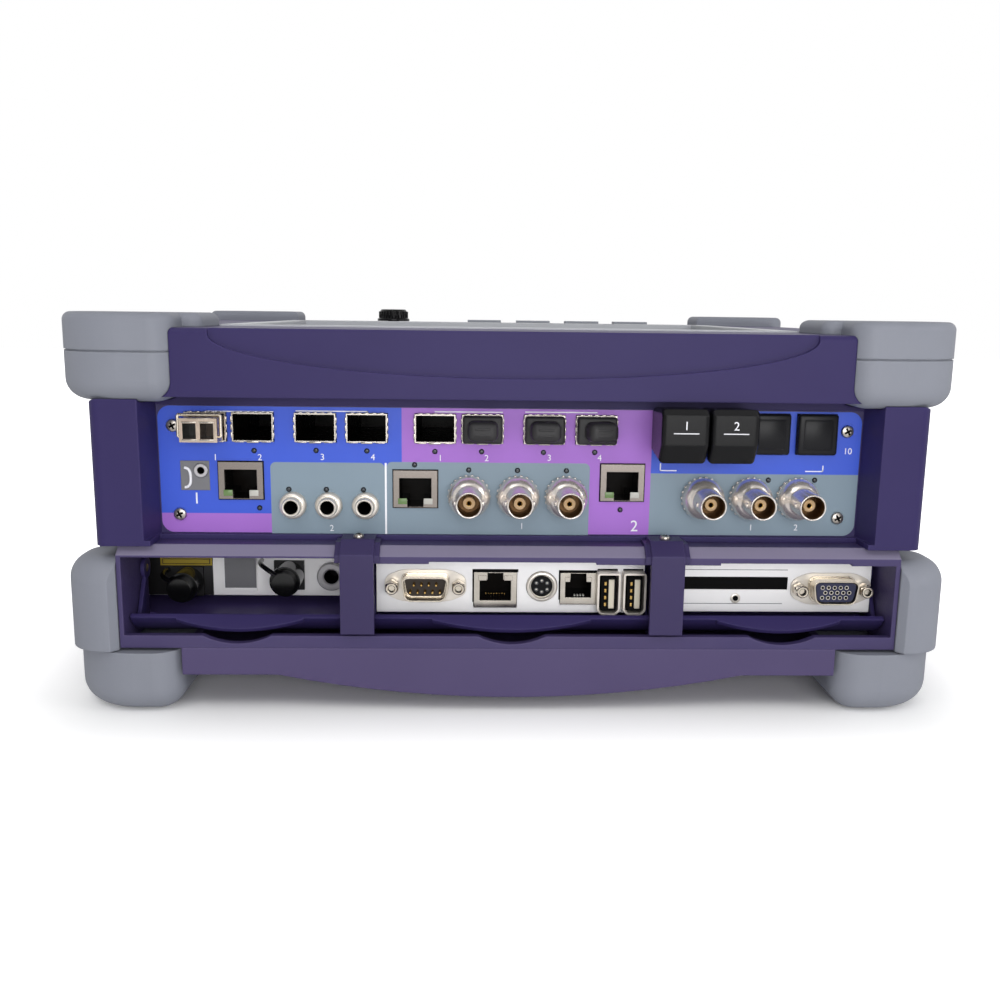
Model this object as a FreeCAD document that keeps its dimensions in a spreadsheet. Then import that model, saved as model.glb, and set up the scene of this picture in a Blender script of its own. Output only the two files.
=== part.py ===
import FreeCAD, Part
import operator
import os
from types import SimpleNamespace

import Sketcher
from FreeCAD import Placement, Rotation, Vector

# Modular optical time domain reflectometer, lying on its back with the connector edge towards -Y.
# +X is to the right of that edge, +Z is up, and the origin is under the middle of the four feet.

doc = FreeCAD.newDocument("reflectometer")

SIZES = {
    # outer size over the bumpers, and the levels of the stack
    "overall_width": 326,
    "overall_depth": 272,
    "overall_height": 145,
    "deck_drop": 5,
    "seam_level": 24.5,
    "ledge_level": 62.5,
    # housings
    "face_setback": 3,
    "side_setback": 5,
    "wall": 3,
    "seat_gap": 0.3,
    "deck_edge_radius": 2,
    "tray_floor_level": 17.5,
    "slab_end_level": 14.3,
    "arch_half_width": 86,
    "arch_drop": 8.6,
    # bumpers, corner guards and feet
    "bumper_reach": 44,
    "bumper_height": 31,
    "bumper_overlap": 2,
    "bumper_band": 13,
    "bumper_groove": 0.7,
    "bumper_edge_radius": 8,
    "bumper_low_radius": 7.5,
    "bumper_top_radius": 3,
    "bumper_tongue": 6.5,
    "tongue_setback": 16,
    "guard_width": 20,
    "guard_depth": 30,
    "guard_low_level": 23.8,
    "guard_top_level": 58,
    "foot_reach": 42,
    "foot_top_level": 23.3,
    "corner_radius": 25,
    "guard_corner_radius": 16,
    "guard_chamfer": 2.5,
    "guard_side_radius": 10,
    "guard_top_radius": 9,
    "foot_end_radius": 10,
    "foot_low_radius": 9,
    # bays in the base frame
    "fascia_level": 56.5,
    "left_fascia_rise": 1.9,
    "ledge_slope_drop": 3.4,
    "ledge_slope_run": 4,
    "end_wall": 1.6,
    "rim_level": 29.2,
    "scoop_width": 25,
    "scoop_depth": 3,
    "fascia_notch": 0.8,
    "fin_centre": 56.4,
    "fin_width": 6.8,
    "fin_back_setback": 41,
    "floor_level": 28.8,
    "floor_thick": 1,
    "floor_front_setback": 23.5,
    "floor_back_setback": 76,
    "strap_width": 12.2,
    "strap_thick": 2.4,
    "strap_low_level": 30.6,
    "strap_hook": 11,
    "saddle_width": 16.2,
    "saddle_thick": 1.2,
    "saddle_drop": 5.5,
    "strap_screw_radius": 2,
    "strap_screw_head": 1.4,
    "strap_screw_setback": 6.6,
    # bay doors: curved covers that turn about the pivot line
    "pivot_setback": 26.7,
    "pivot_level": 48.6,
    "door_radius": 23.2,
    "door_thick": 1.8,
    "door_arc": 60,
    "door_start": 52,
    "door_arm": 1.5,
    "door_arm_gap": 0.45,
    "door_hub_radius": 4,
    "door_pin_radius": 1.5,
    "running_gap": 0.05,
    "tab_reach": 4.8,
    "tab_end_reach": 0.5,
    "tab_thick": 2,
    "tab_width_middle": 59,
    "tab_width_side": 46.6,
    "tab_margin": 1,
    # connector plates
    "plate_thick": 2,
    "middle_plate_setback": 18,
    "left_plate_setback": 46,
    "right_plate_setback": 20,
    "middle_plate_low": 34,
    "left_plate_low": 32.3,
    "black_plate_width": 36,
    "cutout_gap": 0.2,
    "flange_margin": 0.25,
    "card_margin": 1.55,
    "card_gap": 1.2,
    # plug-in module
    "module_width": 300,
    "cheek_slope": 2.5,
    "cheek_radius": 4,
    "module_plate_setback": 17,
    "module_plate_width": 260,
    "module_plate_rise": 2,
    "module_plate_drop": 4,
    "lower_lip": 2,
    "bulkhead": 3,
    "bulkhead_ledge": 4,
    "vent_count": 18,
    "vent_pitch": 7,
    "vent_width": 3,
    "vent_height": 26,
    # transceiver cages
    "cage_width": 15,
    "cage_height": 10.6,
    "cage_wall": 0.5,
    "cage_length": 46,
    "cage_lip": 1.2,
    "cage_drop": 7.8,
    "transceiver_width": 13.4,
    "transceiver_height": 8.6,
    "transceiver_length": 52,
    "transceiver_front": 11,
    # square jacks
    "jack_width": 16.2,
    "jack_height": 13.8,
    "jack_depth": 21,
    "jack_lip": 0.8,
    "jack_mouth_width": 11.9,
    "jack_mouth_height": 8.2,
    "jack_mouth_depth": 14,
    "jack_tab_width": 6,
    "jack_tab_height": 2.6,
    "phone_jack_width": 13.6,
    "phone_jack_height": 12.4,
    "phone_mouth_width": 9.9,
    "phone_mouth_height": 6.8,
    # round jacks
    "coax_share": 0.4244,
    "coax_length": 19.3,
    "coax_radius": 4.83,
    "coax_bore": 4.05,
    "coax_bore_depth": 9,
    "coax_core_radius": 2.3,
    "coax_core_recess": 4.5,
    "coax_contact_radius": 0.7,
    "coax_nut_radius": 8,
    "coax_neck_share": 0.75,
    "coax_nut_thick": 3,
    "coax_lug_radius": 1,
    "coax_lug_span": 11,
    "coax_lug_setback": 4.5,
    "bantam_share": 0.314,
    "bantam_nut": 5.4,
    "bantam_length": 6,
    "bantam_radius": 3.6,
    "bantam_bore": 2.25,
    "tail_length": 20,
    # optical adaptors and their caps
    "adaptor_pitch": 17.6,
    "adaptor_first": 59.7,
    "adaptor_drop": 8.6,
    "adaptor_width": 14.8,
    "adaptor_height": 15.2,
    "adaptor_lip": 1,
    "adaptor_shoulder": 1.5,
    "adaptor_bore": 3,
    "adaptor_bore_depth": 10,
    "cap_width": 17,
    "cap_below": 9,
    "cap_above": 10.6,
    "cap_length": 20,
    "cap_chamfer": 7,
    "cap_edge_radius": 1.8,
    "cap_plug_length": 8,
    "cover_thick": 2.2,
    # top face
    "display_width": 215,
    "display_height": 156,
    "display_centre": 8,
    "bezel_rim": 5,
    "bezel_depth": 6,
    "glass_thick": 2,
    "panel_thick": 3,
    "smile_half_width": 107,
    "smile_start": 2,
    "smile_drop": 14.5,
    "smile_depth": 1.6,
    "key_width": 19,
    "key_depth": 10,
    "key_pitch": 28,
    "key_first": -8,
    "key_line": 104,
    "key_proud": 1.6,
    "key_flange": 1.2,
    "key_stem": 3,
    "key_gap": 0.4,
    "key_stroke": 1.2,
    "knob_x": -60.6,
    "knob_y": 110,
    "knob_radius": 9.2,
    "knob_height": 6.6,
    "knob_shaft_radius": 3,
    "knob_clear": 0.4,
    "encoder_size": 14,
    "encoder_height": 7,
    # inner pieces
    "board_thick": 1.6,
    "main_board_depth": 185,
    "battery_gap": 5,
    "block_headroom": 4,
    "optical_block_depth": 88,
    "module_board_margin": 4,
    "fan_room": 45,
}

sheet = doc.addObject("Spreadsheet::Sheet", "Sizes")
for row, (alias, number) in enumerate(SIZES.items(), 1):
    sheet.set(f"A{row}", alias.replace("_", " "))
    sheet.set(f"B{row}", str(number))
    sheet.setAlias(f"B{row}", alias)
doc.recompute()


class Size:
    """A size from the sheet, or a sum or share of such sizes, with the expression that binds it."""

    def __init__(self, value, text):
        self.value = float(value)
        self.text = text

    def __add__(self, other):
        return joined(self, "+", other)

    def __radd__(self, other):
        return joined(other, "+", self)

    def __sub__(self, other):
        return joined(self, "-", other)

    def __rsub__(self, other):
        return joined(other, "-", self)

    def __mul__(self, other):
        return joined(self, "*", other)

    def __rmul__(self, other):
        return joined(other, "*", self)

    def __truediv__(self, other):
        return joined(self, "/", other)

    def __neg__(self):
        return joined(0, "-", self)


SIGNS = {"+": operator.add, "-": operator.sub, "*": operator.mul, "/": operator.truediv}


def sized(item):
    if isinstance(item, Size):
        return item
    return Size(item, f"({item})")


def joined(first, sign, second):
    one = sized(first)
    two = sized(second)
    return Size(SIGNS[sign](one.value, two.value), f"({one.text} {sign} {two.text})")


d = SimpleNamespace(**{alias: Size(sheet.get(alias), f"Sizes.{alias}") for alias in SIZES})

ALONG = {
    "+x": Rotation(Vector(0, 1, 0), 90),
    "+y": Rotation(Vector(1, 0, 0), -90),
    "-y": Rotation(Vector(1, 0, 0), 90),
    "+z": Rotation(),
}
nodes = []


def bind(item, prop, size):
    """Set one property of an object to a size, and tie it to the sheet."""
    item.setExpression(prop, sized(size).text)


def place(item, x, y, z, turn=Rotation()):
    at = [sized(x), sized(y), sized(z)]
    item.Placement = Placement(Vector(*[size.value for size in at]), turn)
    for axis, size in zip("xyz", at):
        item.setExpression(f"Placement.Base.{axis}", size.text)
    return item


def box(name, x, y, z):
    """A block between a low and a high limit along each axis."""
    item = doc.addObject("Part::Box", name)
    for prop, (low, high) in zip(("Length", "Width", "Height"), (x, y, z)):
        bind(item, prop, sized(high) - low)
    return place(item, x[0], y[0], z[0])


def block(name, centre, y, width, height):
    """A block about a centre (x, z), between two limits along Y."""
    x, z = sized(centre[0]), sized(centre[1])
    half_width, half_height = sized(width) / 2, sized(height) / 2
    return box(name, (x - half_width, x + half_width), y, (z - half_height, z + half_height))


def rod(name, radius, length, at, way, turn=Rotation(), sweep=None):
    """A round bar, or a slice of one, that starts at a point and runs along an axis."""
    item = doc.addObject("Part::Cylinder", name)
    bind(item, "Radius", radius)
    bind(item, "Height", length)
    if sweep is not None:
        bind(item, "Angle", sweep)
    return place(item, *at, turn * ALONG[way])


def hexagon(name, radius, length, at, way):
    item = doc.addObject("Part::Prism", name)
    item.Polygon = 6
    bind(item, "Circumradius", radius)
    bind(item, "Height", length)
    return place(item, *at, ALONG[way])


def fuse(name, items):
    if len(items) == 1:
        return items[0]
    item = doc.addObject("Part::MultiFuse", name)
    item.Shapes = items
    item.Refine = True
    return item


def cut(name, base, tools):
    item = doc.addObject("Part::Cut", name)
    item.Base = base
    item.Tool = fuse(name + "_tools", tools)
    item.Refine = True
    return item


def group(name, items):
    item = doc.addObject("Part::Compound", name)
    item.Links = items
    return item


def mirrored(name, source, normal):
    item = doc.addObject("Part::Mirroring", name)
    item.Source = source
    item.Normal = normal
    return item


def both(low):
    """The limits that lie the same way out on both sides of the middle."""
    return (-sized(low), sized(low))


def node(item, label):
    item.Label = label
    nodes.append(item)
    return item


def outline(body, name, plane, corners, bulges=None, level=0):
    """A closed sketch on one of the body's own planes, corner by corner, anticlockwise.

    A side with a bulge is an arc that stands out from its chord by that much.
    """
    sketch = body.newObject("Sketcher::SketchObject", name)
    support = next(item for item in body.Origin.OriginFeatures if item.Role == plane)
    sketch.AttachmentSupport = [(support, "")]
    sketch.MapMode = "FlatFace"
    if isinstance(level, Size):
        sketch.AttachmentOffset = Placement(Vector(0, 0, level.value), Rotation())
        sketch.setExpression("AttachmentOffset.Base.z", level.text)
    corners = [(sized(x), sized(y)) for x, y in corners]
    starts = []
    ends = []
    for side, (x, y) in enumerate(corners):
        next_x, next_y = corners[(side + 1) % len(corners)]
        start = Vector(x.value, y.value, 0)
        end = Vector(next_x.value, next_y.value, 0)
        bulge = (bulges or {}).get(side)
        if bulge is None:
            sketch.addGeometry(Part.LineSegment(start, end), False)
            starts.append((side, 1))
            ends.append((side, 2))
            continue
        span_x, span_y = next_x - x, next_y - y
        radius = (span_x * span_x + span_y * span_y) / (8 * bulge) + bulge / 2
        along = (end - start).normalize()
        middle = (start + end) * 0.5
        out = Vector(along.y, -along.x, 0) * bulge.value
        arc = Part.Arc(start, middle + out, end)
        sketch.addGeometry(arc.toShape().Curve.trim(*arc.toShape().ParameterRange), False)
        starts.append((side, 1))
        ends.append((side, 2))
        row = sketch.addConstraint(Sketcher.Constraint("Radius", side, radius.value))
        sketch.setExpression(f"Constraints[{row}]", radius.text)
    for side in range(len(corners)):
        following = (side + 1) % len(corners)
        sketch.addConstraint(Sketcher.Constraint("Coincident", *ends[side], *starts[following]))
    for side, corner in enumerate(corners):
        for kind, size in zip(("DistanceX", "DistanceY"), corner):
            row = sketch.addConstraint(Sketcher.Constraint(kind, -1, 1, *starts[side], size.value))
            sketch.setExpression(f"Constraints[{row}]", size.text)
    return sketch


def pad(body, sketch, length, both_ways=False, back=False):
    item = body.newObject("PartDesign::Pad", sketch.Name + "_pad")
    item.Profile = sketch
    item.Midplane = both_ways
    item.Reversed = back
    bind(item, "Length", length)
    body.Tip = item
    return item


def rounded(body, radius, wanted):
    """Round the edges of the body's last feature whose two ends both pass a test."""
    doc.recompute()
    tip = body.Tip
    names = []
    for number, edge in enumerate(tip.Shape.Edges, 1):
        if wanted(edge):
            names.append(f"Edge{number}")
    item = body.newObject("PartDesign::Fillet", f"{body.Name}_round_{len(body.Group)}")
    item.Base = (tip, names)
    bind(item, "Radius", radius)
    body.Tip = item
    doc.recompute()
    return item


# places that several pieces share
half_width = d.overall_width / 2
half_depth = d.overall_depth / 2
front = -half_depth
face = front + d.face_setback
back = half_depth - d.face_setback
side = half_width - d.side_setback
bumper_x = half_width - d.bumper_reach
bumper_y = half_depth - d.bumper_reach
foot_x = half_width - d.foot_reach
foot_y = half_depth - d.foot_reach
guard_x = half_width - d.guard_width
guard_y = half_depth - d.guard_depth
deck = d.overall_height - d.deck_drop
bumper_low = d.overall_height - d.bumper_height
module_top = bumper_low + d.bumper_overlap
bumper_seam = d.overall_height - d.bumper_band
fin_back = front + d.fin_back_setback
floor_front = front + d.floor_front_setback
floor_back = front + d.floor_back_setback
past = 1
QUARTER_BULGE = 1 - 0.5 ** 0.5
NEAR = 0.01
ALIGNED = 0.9


def corner_notches(name, x, y, z, gap):
    """The four corner blocks that a housing leaves free for its bumpers."""
    items = []
    for sign_x in (-1, 1):
        for sign_y in (-1, 1):
            limit_x = [sign_x * (x - gap), sign_x * (half_width + past)]
            limit_y = [sign_y * (y - gap), sign_y * (half_depth + past)]
            limit_x.sort(key=lambda size: size.value)
            limit_y.sort(key=lambda size: size.value)
            items.append(box(f"{name}_{len(items)}", limit_x, limit_y, z))
    return items


def corner_plan(body, name, inner, radii, level, inset=0, chamfered=False):
    """The plan of a corner piece at the front right, on a level above the floor.

    The inner point is where its two seats meet. The radii are those of its inner front edge, which may be
    chamfered instead, of its outer corner and of its inner side edge. An inset draws all its faces in.
    """
    x, y = (limit + inset for limit in inner)
    near, outer, far = (radius - inset for radius in radii)
    out_x = half_width - inset
    out_y = front + inset
    bulges = {2: outer * QUARTER_BULGE, 4: far * QUARTER_BULGE}
    if not chamfered:
        bulges[0] = near * QUARTER_BULGE
    corners = [
        (x, out_y + near),
        (x + near, out_y),
        (out_x - outer, out_y),
        (out_x, out_y + outer),
        (out_x, -y - far),
        (out_x - far, -y),
        (x, -y),
    ]
    return outline(body, name, "XY_Plane", corners, bulges, level)


def at_level(level):
    """A test for the edges that lie on one level."""
    return lambda edge: max(abs(edge.BoundBox.ZMin - level), abs(edge.BoundBox.ZMax - level)) < NEAR


def corner_set(label, body):
    """A piece of the front right corner and its three mirror images."""
    right_back = mirrored(label + "_right_back", body, Vector(0, 1, 0))
    left_front = mirrored(label + "_left_front", body, Vector(1, 0, 0))
    left_back = mirrored(label + "_left_back", right_back, Vector(1, 0, 0))
    return [body, right_back, left_front, left_back]


def four_corners(label, body):
    return node(group(label + "_set", corner_set(label, body)), label)


# Lower housing: a tray whose front edge hangs down in a shallow arch between the feet.
tray = doc.addObject("PartDesign::Body", "tray")
tray_outline = outline(
    tray,
    "tray_outline",
    "XZ_Plane",
    [
        (-side, d.seam_level),
        (-side, d.slab_end_level),
        (-d.arch_half_width, d.slab_end_level),
        (d.arch_half_width, d.slab_end_level),
        (side, d.slab_end_level),
        (side, d.seam_level),
    ],
    {2: d.arch_drop},
)
pad(tray, tray_outline, back - face, both_ways=True)
tray_hollow = [
    box(
        "tray_hollow_long",
        both(foot_x - d.seat_gap - d.wall),
        (face + d.wall, back - d.wall),
        (d.tray_floor_level, d.seam_level + past),
    ),
    box(
        "tray_hollow_wide",
        both(side - d.wall),
        both(foot_y - d.seat_gap - d.wall),
        (d.tray_floor_level, d.seam_level + past),
    ),
]
tray_notches = corner_notches("tray_notch", foot_x, foot_y, (-past, d.seam_level + past), d.seat_gap)
node(cut("tray_cut", tray, tray_hollow + tray_notches), "lower_housing")

# Feet: rubber corner blocks under the seam, rounded in plan and well rounded towards the floor.
foot = doc.addObject("PartDesign::Body", "foot")
foot_radii = (d.foot_end_radius, d.corner_radius, d.foot_end_radius)
pad(foot, corner_plan(foot, "foot_plan", (foot_x, foot_y), foot_radii, 0), d.foot_top_level)
rounded(foot, d.foot_low_radius, at_level(0))
four_corners("feet", foot)

# Base frame: the rim, the ledge and the walls round the three connector bays.
slope_low = d.ledge_level - d.ledge_slope_drop
frame_block = doc.addObject("PartDesign::Body", "frame_block")
frame_profile = outline(
    frame_block,
    "frame_profile",
    "YZ_Plane",
    [
        (face, d.seam_level),
        (back, d.seam_level),
        (back, slope_low),
        (back - d.ledge_slope_run, d.ledge_level),
        (face + d.ledge_slope_run, d.ledge_level),
        (face, slope_low),
    ],
)
pad(frame_block, frame_profile, 2 * side, both_ways=True)
frame_inner_x = guard_x - d.seat_gap - d.end_wall
left_plate_y = front + d.left_plate_setback
plate_inner = d.fin_centre + d.fin_width / 2
left_fascia = d.fascia_level + d.left_fascia_rise
notch_inner_y = guard_y - d.seat_gap - d.wall
frame_hollow = [
    box(
        "frame_hollow_long",
        both(frame_inner_x),
        (face + d.wall, back - d.wall),
        (d.seam_level - past, d.fascia_level),
    ),
    box(
        "frame_hollow_wide",
        both(side - d.wall),
        both(notch_inner_y),
        (d.seam_level - past, d.fascia_level),
    ),
    box(
        "frame_opening",
        both(frame_inner_x),
        (face - past, face + d.wall + past),
        (d.rim_level, d.fascia_level),
    ),
    box(
        "frame_left_headroom",
        (-frame_inner_x, -plate_inner),
        (face - past, left_plate_y),
        (d.fascia_level - past, left_fascia),
    ),
]
frame_notches = corner_notches(
    "frame_notch", guard_x, guard_y, (d.seam_level - past, d.ledge_level + past), d.seat_gap
)
arm_in_middle = d.fin_centre - d.fin_width / 2 - d.door_arm_gap
arm_in_side = plate_inner + d.door_arm_gap
arm_out_side = frame_inner_x - d.door_arm_gap
side_bay = (arm_in_side + arm_out_side) / 2
tab_places = {
    "left": (-side_bay, d.tab_width_side),
    "middle": (sized(0), d.tab_width_middle),
    "right": (side_bay, d.tab_width_side),
}
frame_cuts = []
for bay, (centre, width) in tab_places.items():
    half_notch = width / 2 + d.tab_margin
    frame_cuts.append(
        box(
            f"fascia_notch_{bay}",
            (centre - half_notch, centre + half_notch),
            (face - past, face + d.wall + past),
            (d.fascia_level - past, d.fascia_level + d.fascia_notch),
        )
    )
    scoop = doc.addObject("PartDesign::Body", f"scoop_{bay}")
    scoop_outline = outline(
        scoop,
        f"scoop_outline_{bay}",
        "XZ_Plane",
        [
            (centre - d.scoop_width / 2, d.rim_level),
            (centre + d.scoop_width / 2, d.rim_level),
            (centre + d.scoop_width / 2, d.rim_level + past),
            (centre - d.scoop_width / 2, d.rim_level + past),
        ],
        {0: d.scoop_depth},
        level=-(face + d.wall + past),
    )
    pad(scoop, scoop_outline, d.wall + 2 * past)
    frame_cuts.append(scoop)
frame_shell = cut("frame_shell", frame_block, frame_hollow + frame_notches + frame_cuts)
fins = []
for name, sign in (("left", -1), ("right", 1)):
    limits = [sign * (d.fin_centre - d.fin_width / 2), sign * (d.fin_centre + d.fin_width / 2)]
    limits.sort(key=lambda size: size.value)
    fins.append(box(f"fin_{name}", limits, (face + d.wall, fin_back), (d.seam_level, d.fascia_level)))
frame_whole = fuse("frame_whole", [frame_shell] + fins)

pivot_y = front + d.pivot_setback
pivot_z = d.pivot_level
pin_spans = [
    ("left_outer", -guard_x + d.seat_gap, -(arm_out_side - d.door_arm)),
    ("left_inner", -(arm_in_side + d.door_arm), -(arm_in_middle - d.door_arm)),
    ("right_inner", arm_in_middle - d.door_arm, arm_in_side + d.door_arm),
    ("right_outer", arm_out_side - d.door_arm, guard_x - d.seat_gap),
]


def pivot_rods(name, radius):
    return [
        rod(f"{name}_{place_name}", radius, high - low, (low, pivot_y, pivot_z), "+x")
        for place_name, low, high in pin_spans
    ]


node(cut("frame_bored", frame_whole, pivot_rods("frame_bore", d.door_pin_radius)), "base_frame")
node(group("door_pin_set", pivot_rods("door_pin", d.door_pin_radius)), "door_pins")

# Bay doors: each is a slice of a tube on two arms, stowed under the bay floor, with a bowed finger tab.
door_spans = {
    "left": (-arm_out_side, -arm_in_side),
    "middle": (-arm_in_middle, arm_in_middle),
    "right": (arm_in_side, arm_out_side),
}
lean = Rotation(Vector(1, 0, 0), -d.door_start.value)


def slice_of(name, radius, x, sweep, turn=lean):
    return rod(name, radius, x[1] - x[0], (x[0], pivot_y, pivot_z), "+x", turn, sweep)


for bay, span in door_spans.items():
    centre, width = tab_places[bay]
    wide = (span[0] - past, span[1] + past)
    shell = cut(
        f"door_shell_{bay}",
        slice_of(f"door_outer_{bay}", d.door_radius, span, d.door_arc),
        [slice_of(f"door_inner_{bay}", d.door_radius - d.door_thick, wide, 360)],
    )
    tab = doc.addObject("PartDesign::Body", f"door_tab_{bay}")
    tab_outline = outline(
        tab,
        f"door_tab_outline_{bay}",
        "XY_Plane",
        [
            (-width / 2, d.door_radius - d.door_thick / 2),
            (width / 2, d.door_radius - d.door_thick / 2),
            (width / 2, d.door_radius + d.tab_end_reach),
            (-width / 2, d.door_radius + d.tab_end_reach),
        ],
        {2: d.tab_reach - d.tab_end_reach},
    )
    pad(tab, tab_outline, d.tab_thick)
    place(tab, centre, pivot_y, pivot_z, Rotation(Vector(1, 0, 0), 270 - d.door_start.value))
    arms = []
    arm_sweep = d.door_arc / 3
    arm_turn = Rotation(Vector(1, 0, 0), d.door_arc.value / 3 - d.door_start.value)
    for end, limits in (
        ("low", (span[0], span[0] + d.door_arm)),
        ("high", (span[1] - d.door_arm, span[1])),
    ):
        arm_radius = d.door_radius - d.door_thick / 2
        arms.append(slice_of(f"door_arm_{bay}_{end}", arm_radius, limits, arm_sweep, arm_turn))
        arms.append(slice_of(f"door_hub_{bay}_{end}", d.door_hub_radius, limits, 360))
    joined_door = fuse(f"door_joined_{bay}", [shell, tab] + arms)
    bore = slice_of(f"door_bore_{bay}", d.door_pin_radius + d.running_gap, wide, 360)
    node(cut(f"door_bored_{bay}", joined_door, [bore]), f"door_{bay}")

# Bay floor: one plate behind, with a tongue between the arms of each door.
floor_z = (d.floor_level - d.floor_thick, d.floor_level)
tongue_gap = d.door_arm + d.door_arm_gap
floor_pieces = [box("floor_plate", both(side - d.wall), (-notch_inner_y, floor_back), floor_z)]
for bay, (low, high) in door_spans.items():
    floor_pieces.append(
        box(
            f"floor_tongue_{bay}",
            (low + tongue_gap, high - tongue_gap),
            (floor_front, -notch_inner_y),
            floor_z,
        )
    )
floor_whole = fuse("floor_whole", floor_pieces)
floor_slots = [
    box(
        f"floor_slot_{name}",
        (low, high),
        (pivot_y, fin_back),
        (d.floor_level - d.floor_thick - past, d.floor_level + past),
    )
    for name, low, high in (
        ("left", -(d.fin_centre + d.fin_width / 2), -(d.fin_centre - d.fin_width / 2)),
        ("right", d.fin_centre - d.fin_width / 2, d.fin_centre + d.fin_width / 2),
    )
]
node(cut("floor_cut", floor_whole, floor_slots), "bay_floor")

# Strap posts: a bent strap in front of each fin, hooked over the ledge on a wider saddle, with a screw.
# The two shares say how far a bend draws the outside of a strap back and up, for each unit of thickness.
BEND_BACK = 0.38
BEND_UP = 0.45


def strap_piece(name, centre, width, thick, low):
    """A strip of sheet that comes up the front face, leans back with the slope and lies on the ledge."""
    piece = doc.addObject("PartDesign::Body", name)
    hook_end = face + d.strap_hook
    profile = outline(
        piece,
        f"{name}_profile",
        "YZ_Plane",
        [
            (face - thick, low),
            (face, low),
            (face, slope_low),
            (face + d.ledge_slope_run, d.ledge_level),
            (hook_end, d.ledge_level),
            (hook_end, d.ledge_level + thick),
            (face + d.ledge_slope_run - thick * BEND_BACK, d.ledge_level + thick),
            (face - thick, slope_low + thick * BEND_UP),
        ],
        level=centre - width / 2,
    )
    pad(piece, profile, width)
    return piece


straps = []
strap_screws = []
for name, sign in (("left", -1), ("right", 1)):
    centre = sign * d.fin_centre
    strap = strap_piece(f"strap_{name}", centre, d.strap_width, d.strap_thick, d.strap_low_level)
    saddle_low = d.ledge_level - d.saddle_drop
    saddle = strap_piece(f"saddle_{name}", centre, d.saddle_width, d.saddle_thick, saddle_low)
    straps.append(fuse(f"post_{name}", [strap, saddle]))
    screw_at = (centre, face + d.strap_screw_setback, d.ledge_level + d.strap_thick)
    strap_screws.append(rod(f"strap_screw_{name}", d.strap_screw_radius, d.strap_screw_head, screw_at, "+z"))
node(group("strap_set", straps), "bay_posts")

# Corner guards: upright rubber blocks at the corners of the base frame, domed towards the top.
guard = doc.addObject("PartDesign::Body", "guard")
guard_radii = (d.guard_chamfer, d.guard_corner_radius, d.guard_side_radius)
guard_plan = corner_plan(
    guard, "guard_plan", (guard_x, guard_y), guard_radii, d.guard_low_level, chamfered=True
)
pad(guard, guard_plan, d.guard_top_level - d.guard_low_level)


def guard_crown(edge):
    bounds = edge.BoundBox
    on_chamfer = bounds.XMax < (guard_x + d.guard_chamfer).value + NEAR
    on_back = bounds.YMin > -guard_y.value - NEAR
    return at_level(d.guard_top_level.value)(edge) and not on_chamfer and not on_back


rounded(guard, d.guard_top_radius, guard_crown)
four_corners("corner_guards", guard)

# Jacks and ports share these small builders; each faces -Y from the plate that carries it.
JACK_OUTER = (d.jack_width, d.jack_height)
JACK_MOUTH = (d.jack_mouth_width, d.jack_mouth_height)
PHONE_OUTER = (d.phone_jack_width, d.phone_jack_height)
PHONE_MOUTH = (d.phone_mouth_width, d.phone_mouth_height)


def square_jack(label, centre, plate, outer, mouth, tab_up):
    """A shielded box jack: a flat shell with a stepped mouth and the keyway for the plug's latch."""
    lip = plate - d.jack_lip
    mouth_y = (lip - past, lip + d.jack_mouth_depth)
    rise = (mouth[1] + d.jack_tab_height) / 2
    keyway_at = (centre[0], centre[1] + (rise if tab_up else -rise))
    shell = block(f"{label}_shell", centre, (lip, plate + d.jack_depth), *outer)
    hollow = [
        block(f"{label}_mouth", centre, mouth_y, *mouth),
        block(f"{label}_keyway", keyway_at, mouth_y, d.jack_tab_width, d.jack_tab_height),
    ]
    return cut(f"{label}_cut", shell, hollow)


def plate_hole(name, centre, plate, width, height):
    gap = 2 * d.cutout_gap
    return block(name, centre, (plate - past, plate + d.plate_thick + past), width + gap, height + gap)


def round_hole(name, centre, plate, radius):
    return rod(name, radius, d.plate_thick + 2 * past, (centre[0], plate - past, centre[1]), "+y")


# D-shaped ports: a flange on the plate, a drawn shell, and nine pins or fifteen sunk contacts.
D_SHELL = SimpleNamespace(half_top=8.45, half_low=7.2, height=8.36, corner=1.6, wall=0.6, length=6.2, tail=9)
D_FLANGE = SimpleNamespace(width=30.8, height=12.4, thick=1, screw_span=24.99, screw_hole=1.6)
D_PINS = SimpleNamespace(pitch=2.77, row_pitch=2.84, radius=0.5, recess=0.8, floor=1)
D_HOLES = SimpleNamespace(pitch=2.29, row_pitch=1.98, radius=0.55, depth=3, sunk=0.8)
PIN_COUNTS = (4, 5)
HOLE_COUNTS = (5, 5, 5)
JACKSCREW = SimpleNamespace(radius=2.75, length=5.2, hole=1.25, hole_depth=4.5, stem=1.4, stem_length=8)


def d_shell(name, centre, plate, inset, length):
    """A D-shaped profile, wider at the top, standing out from a plate."""
    x, z = centre
    body = doc.addObject("PartDesign::Body", name)
    high = z + (D_SHELL.height / 2 - inset)
    low = z - (D_SHELL.height / 2 - inset)
    half_low = D_SHELL.half_low - inset
    half_top = D_SHELL.half_top - inset
    corners = [(x - half_low, low), (x + half_low, low), (x + half_top, high), (x - half_top, high)]
    pad(body, outline(body, f"{name}_outline", "XZ_Plane", corners, level=-plate), length)
    rounded(body, D_SHELL.corner - inset, lambda edge: abs(edge.tangentAt(edge.FirstParameter).y) > ALIGNED)
    return body


def screw_spots(centre):
    half_span = D_FLANGE.screw_span / 2
    return [(centre[0] - half_span, centre[1]), (centre[0] + half_span, centre[1])]


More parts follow.
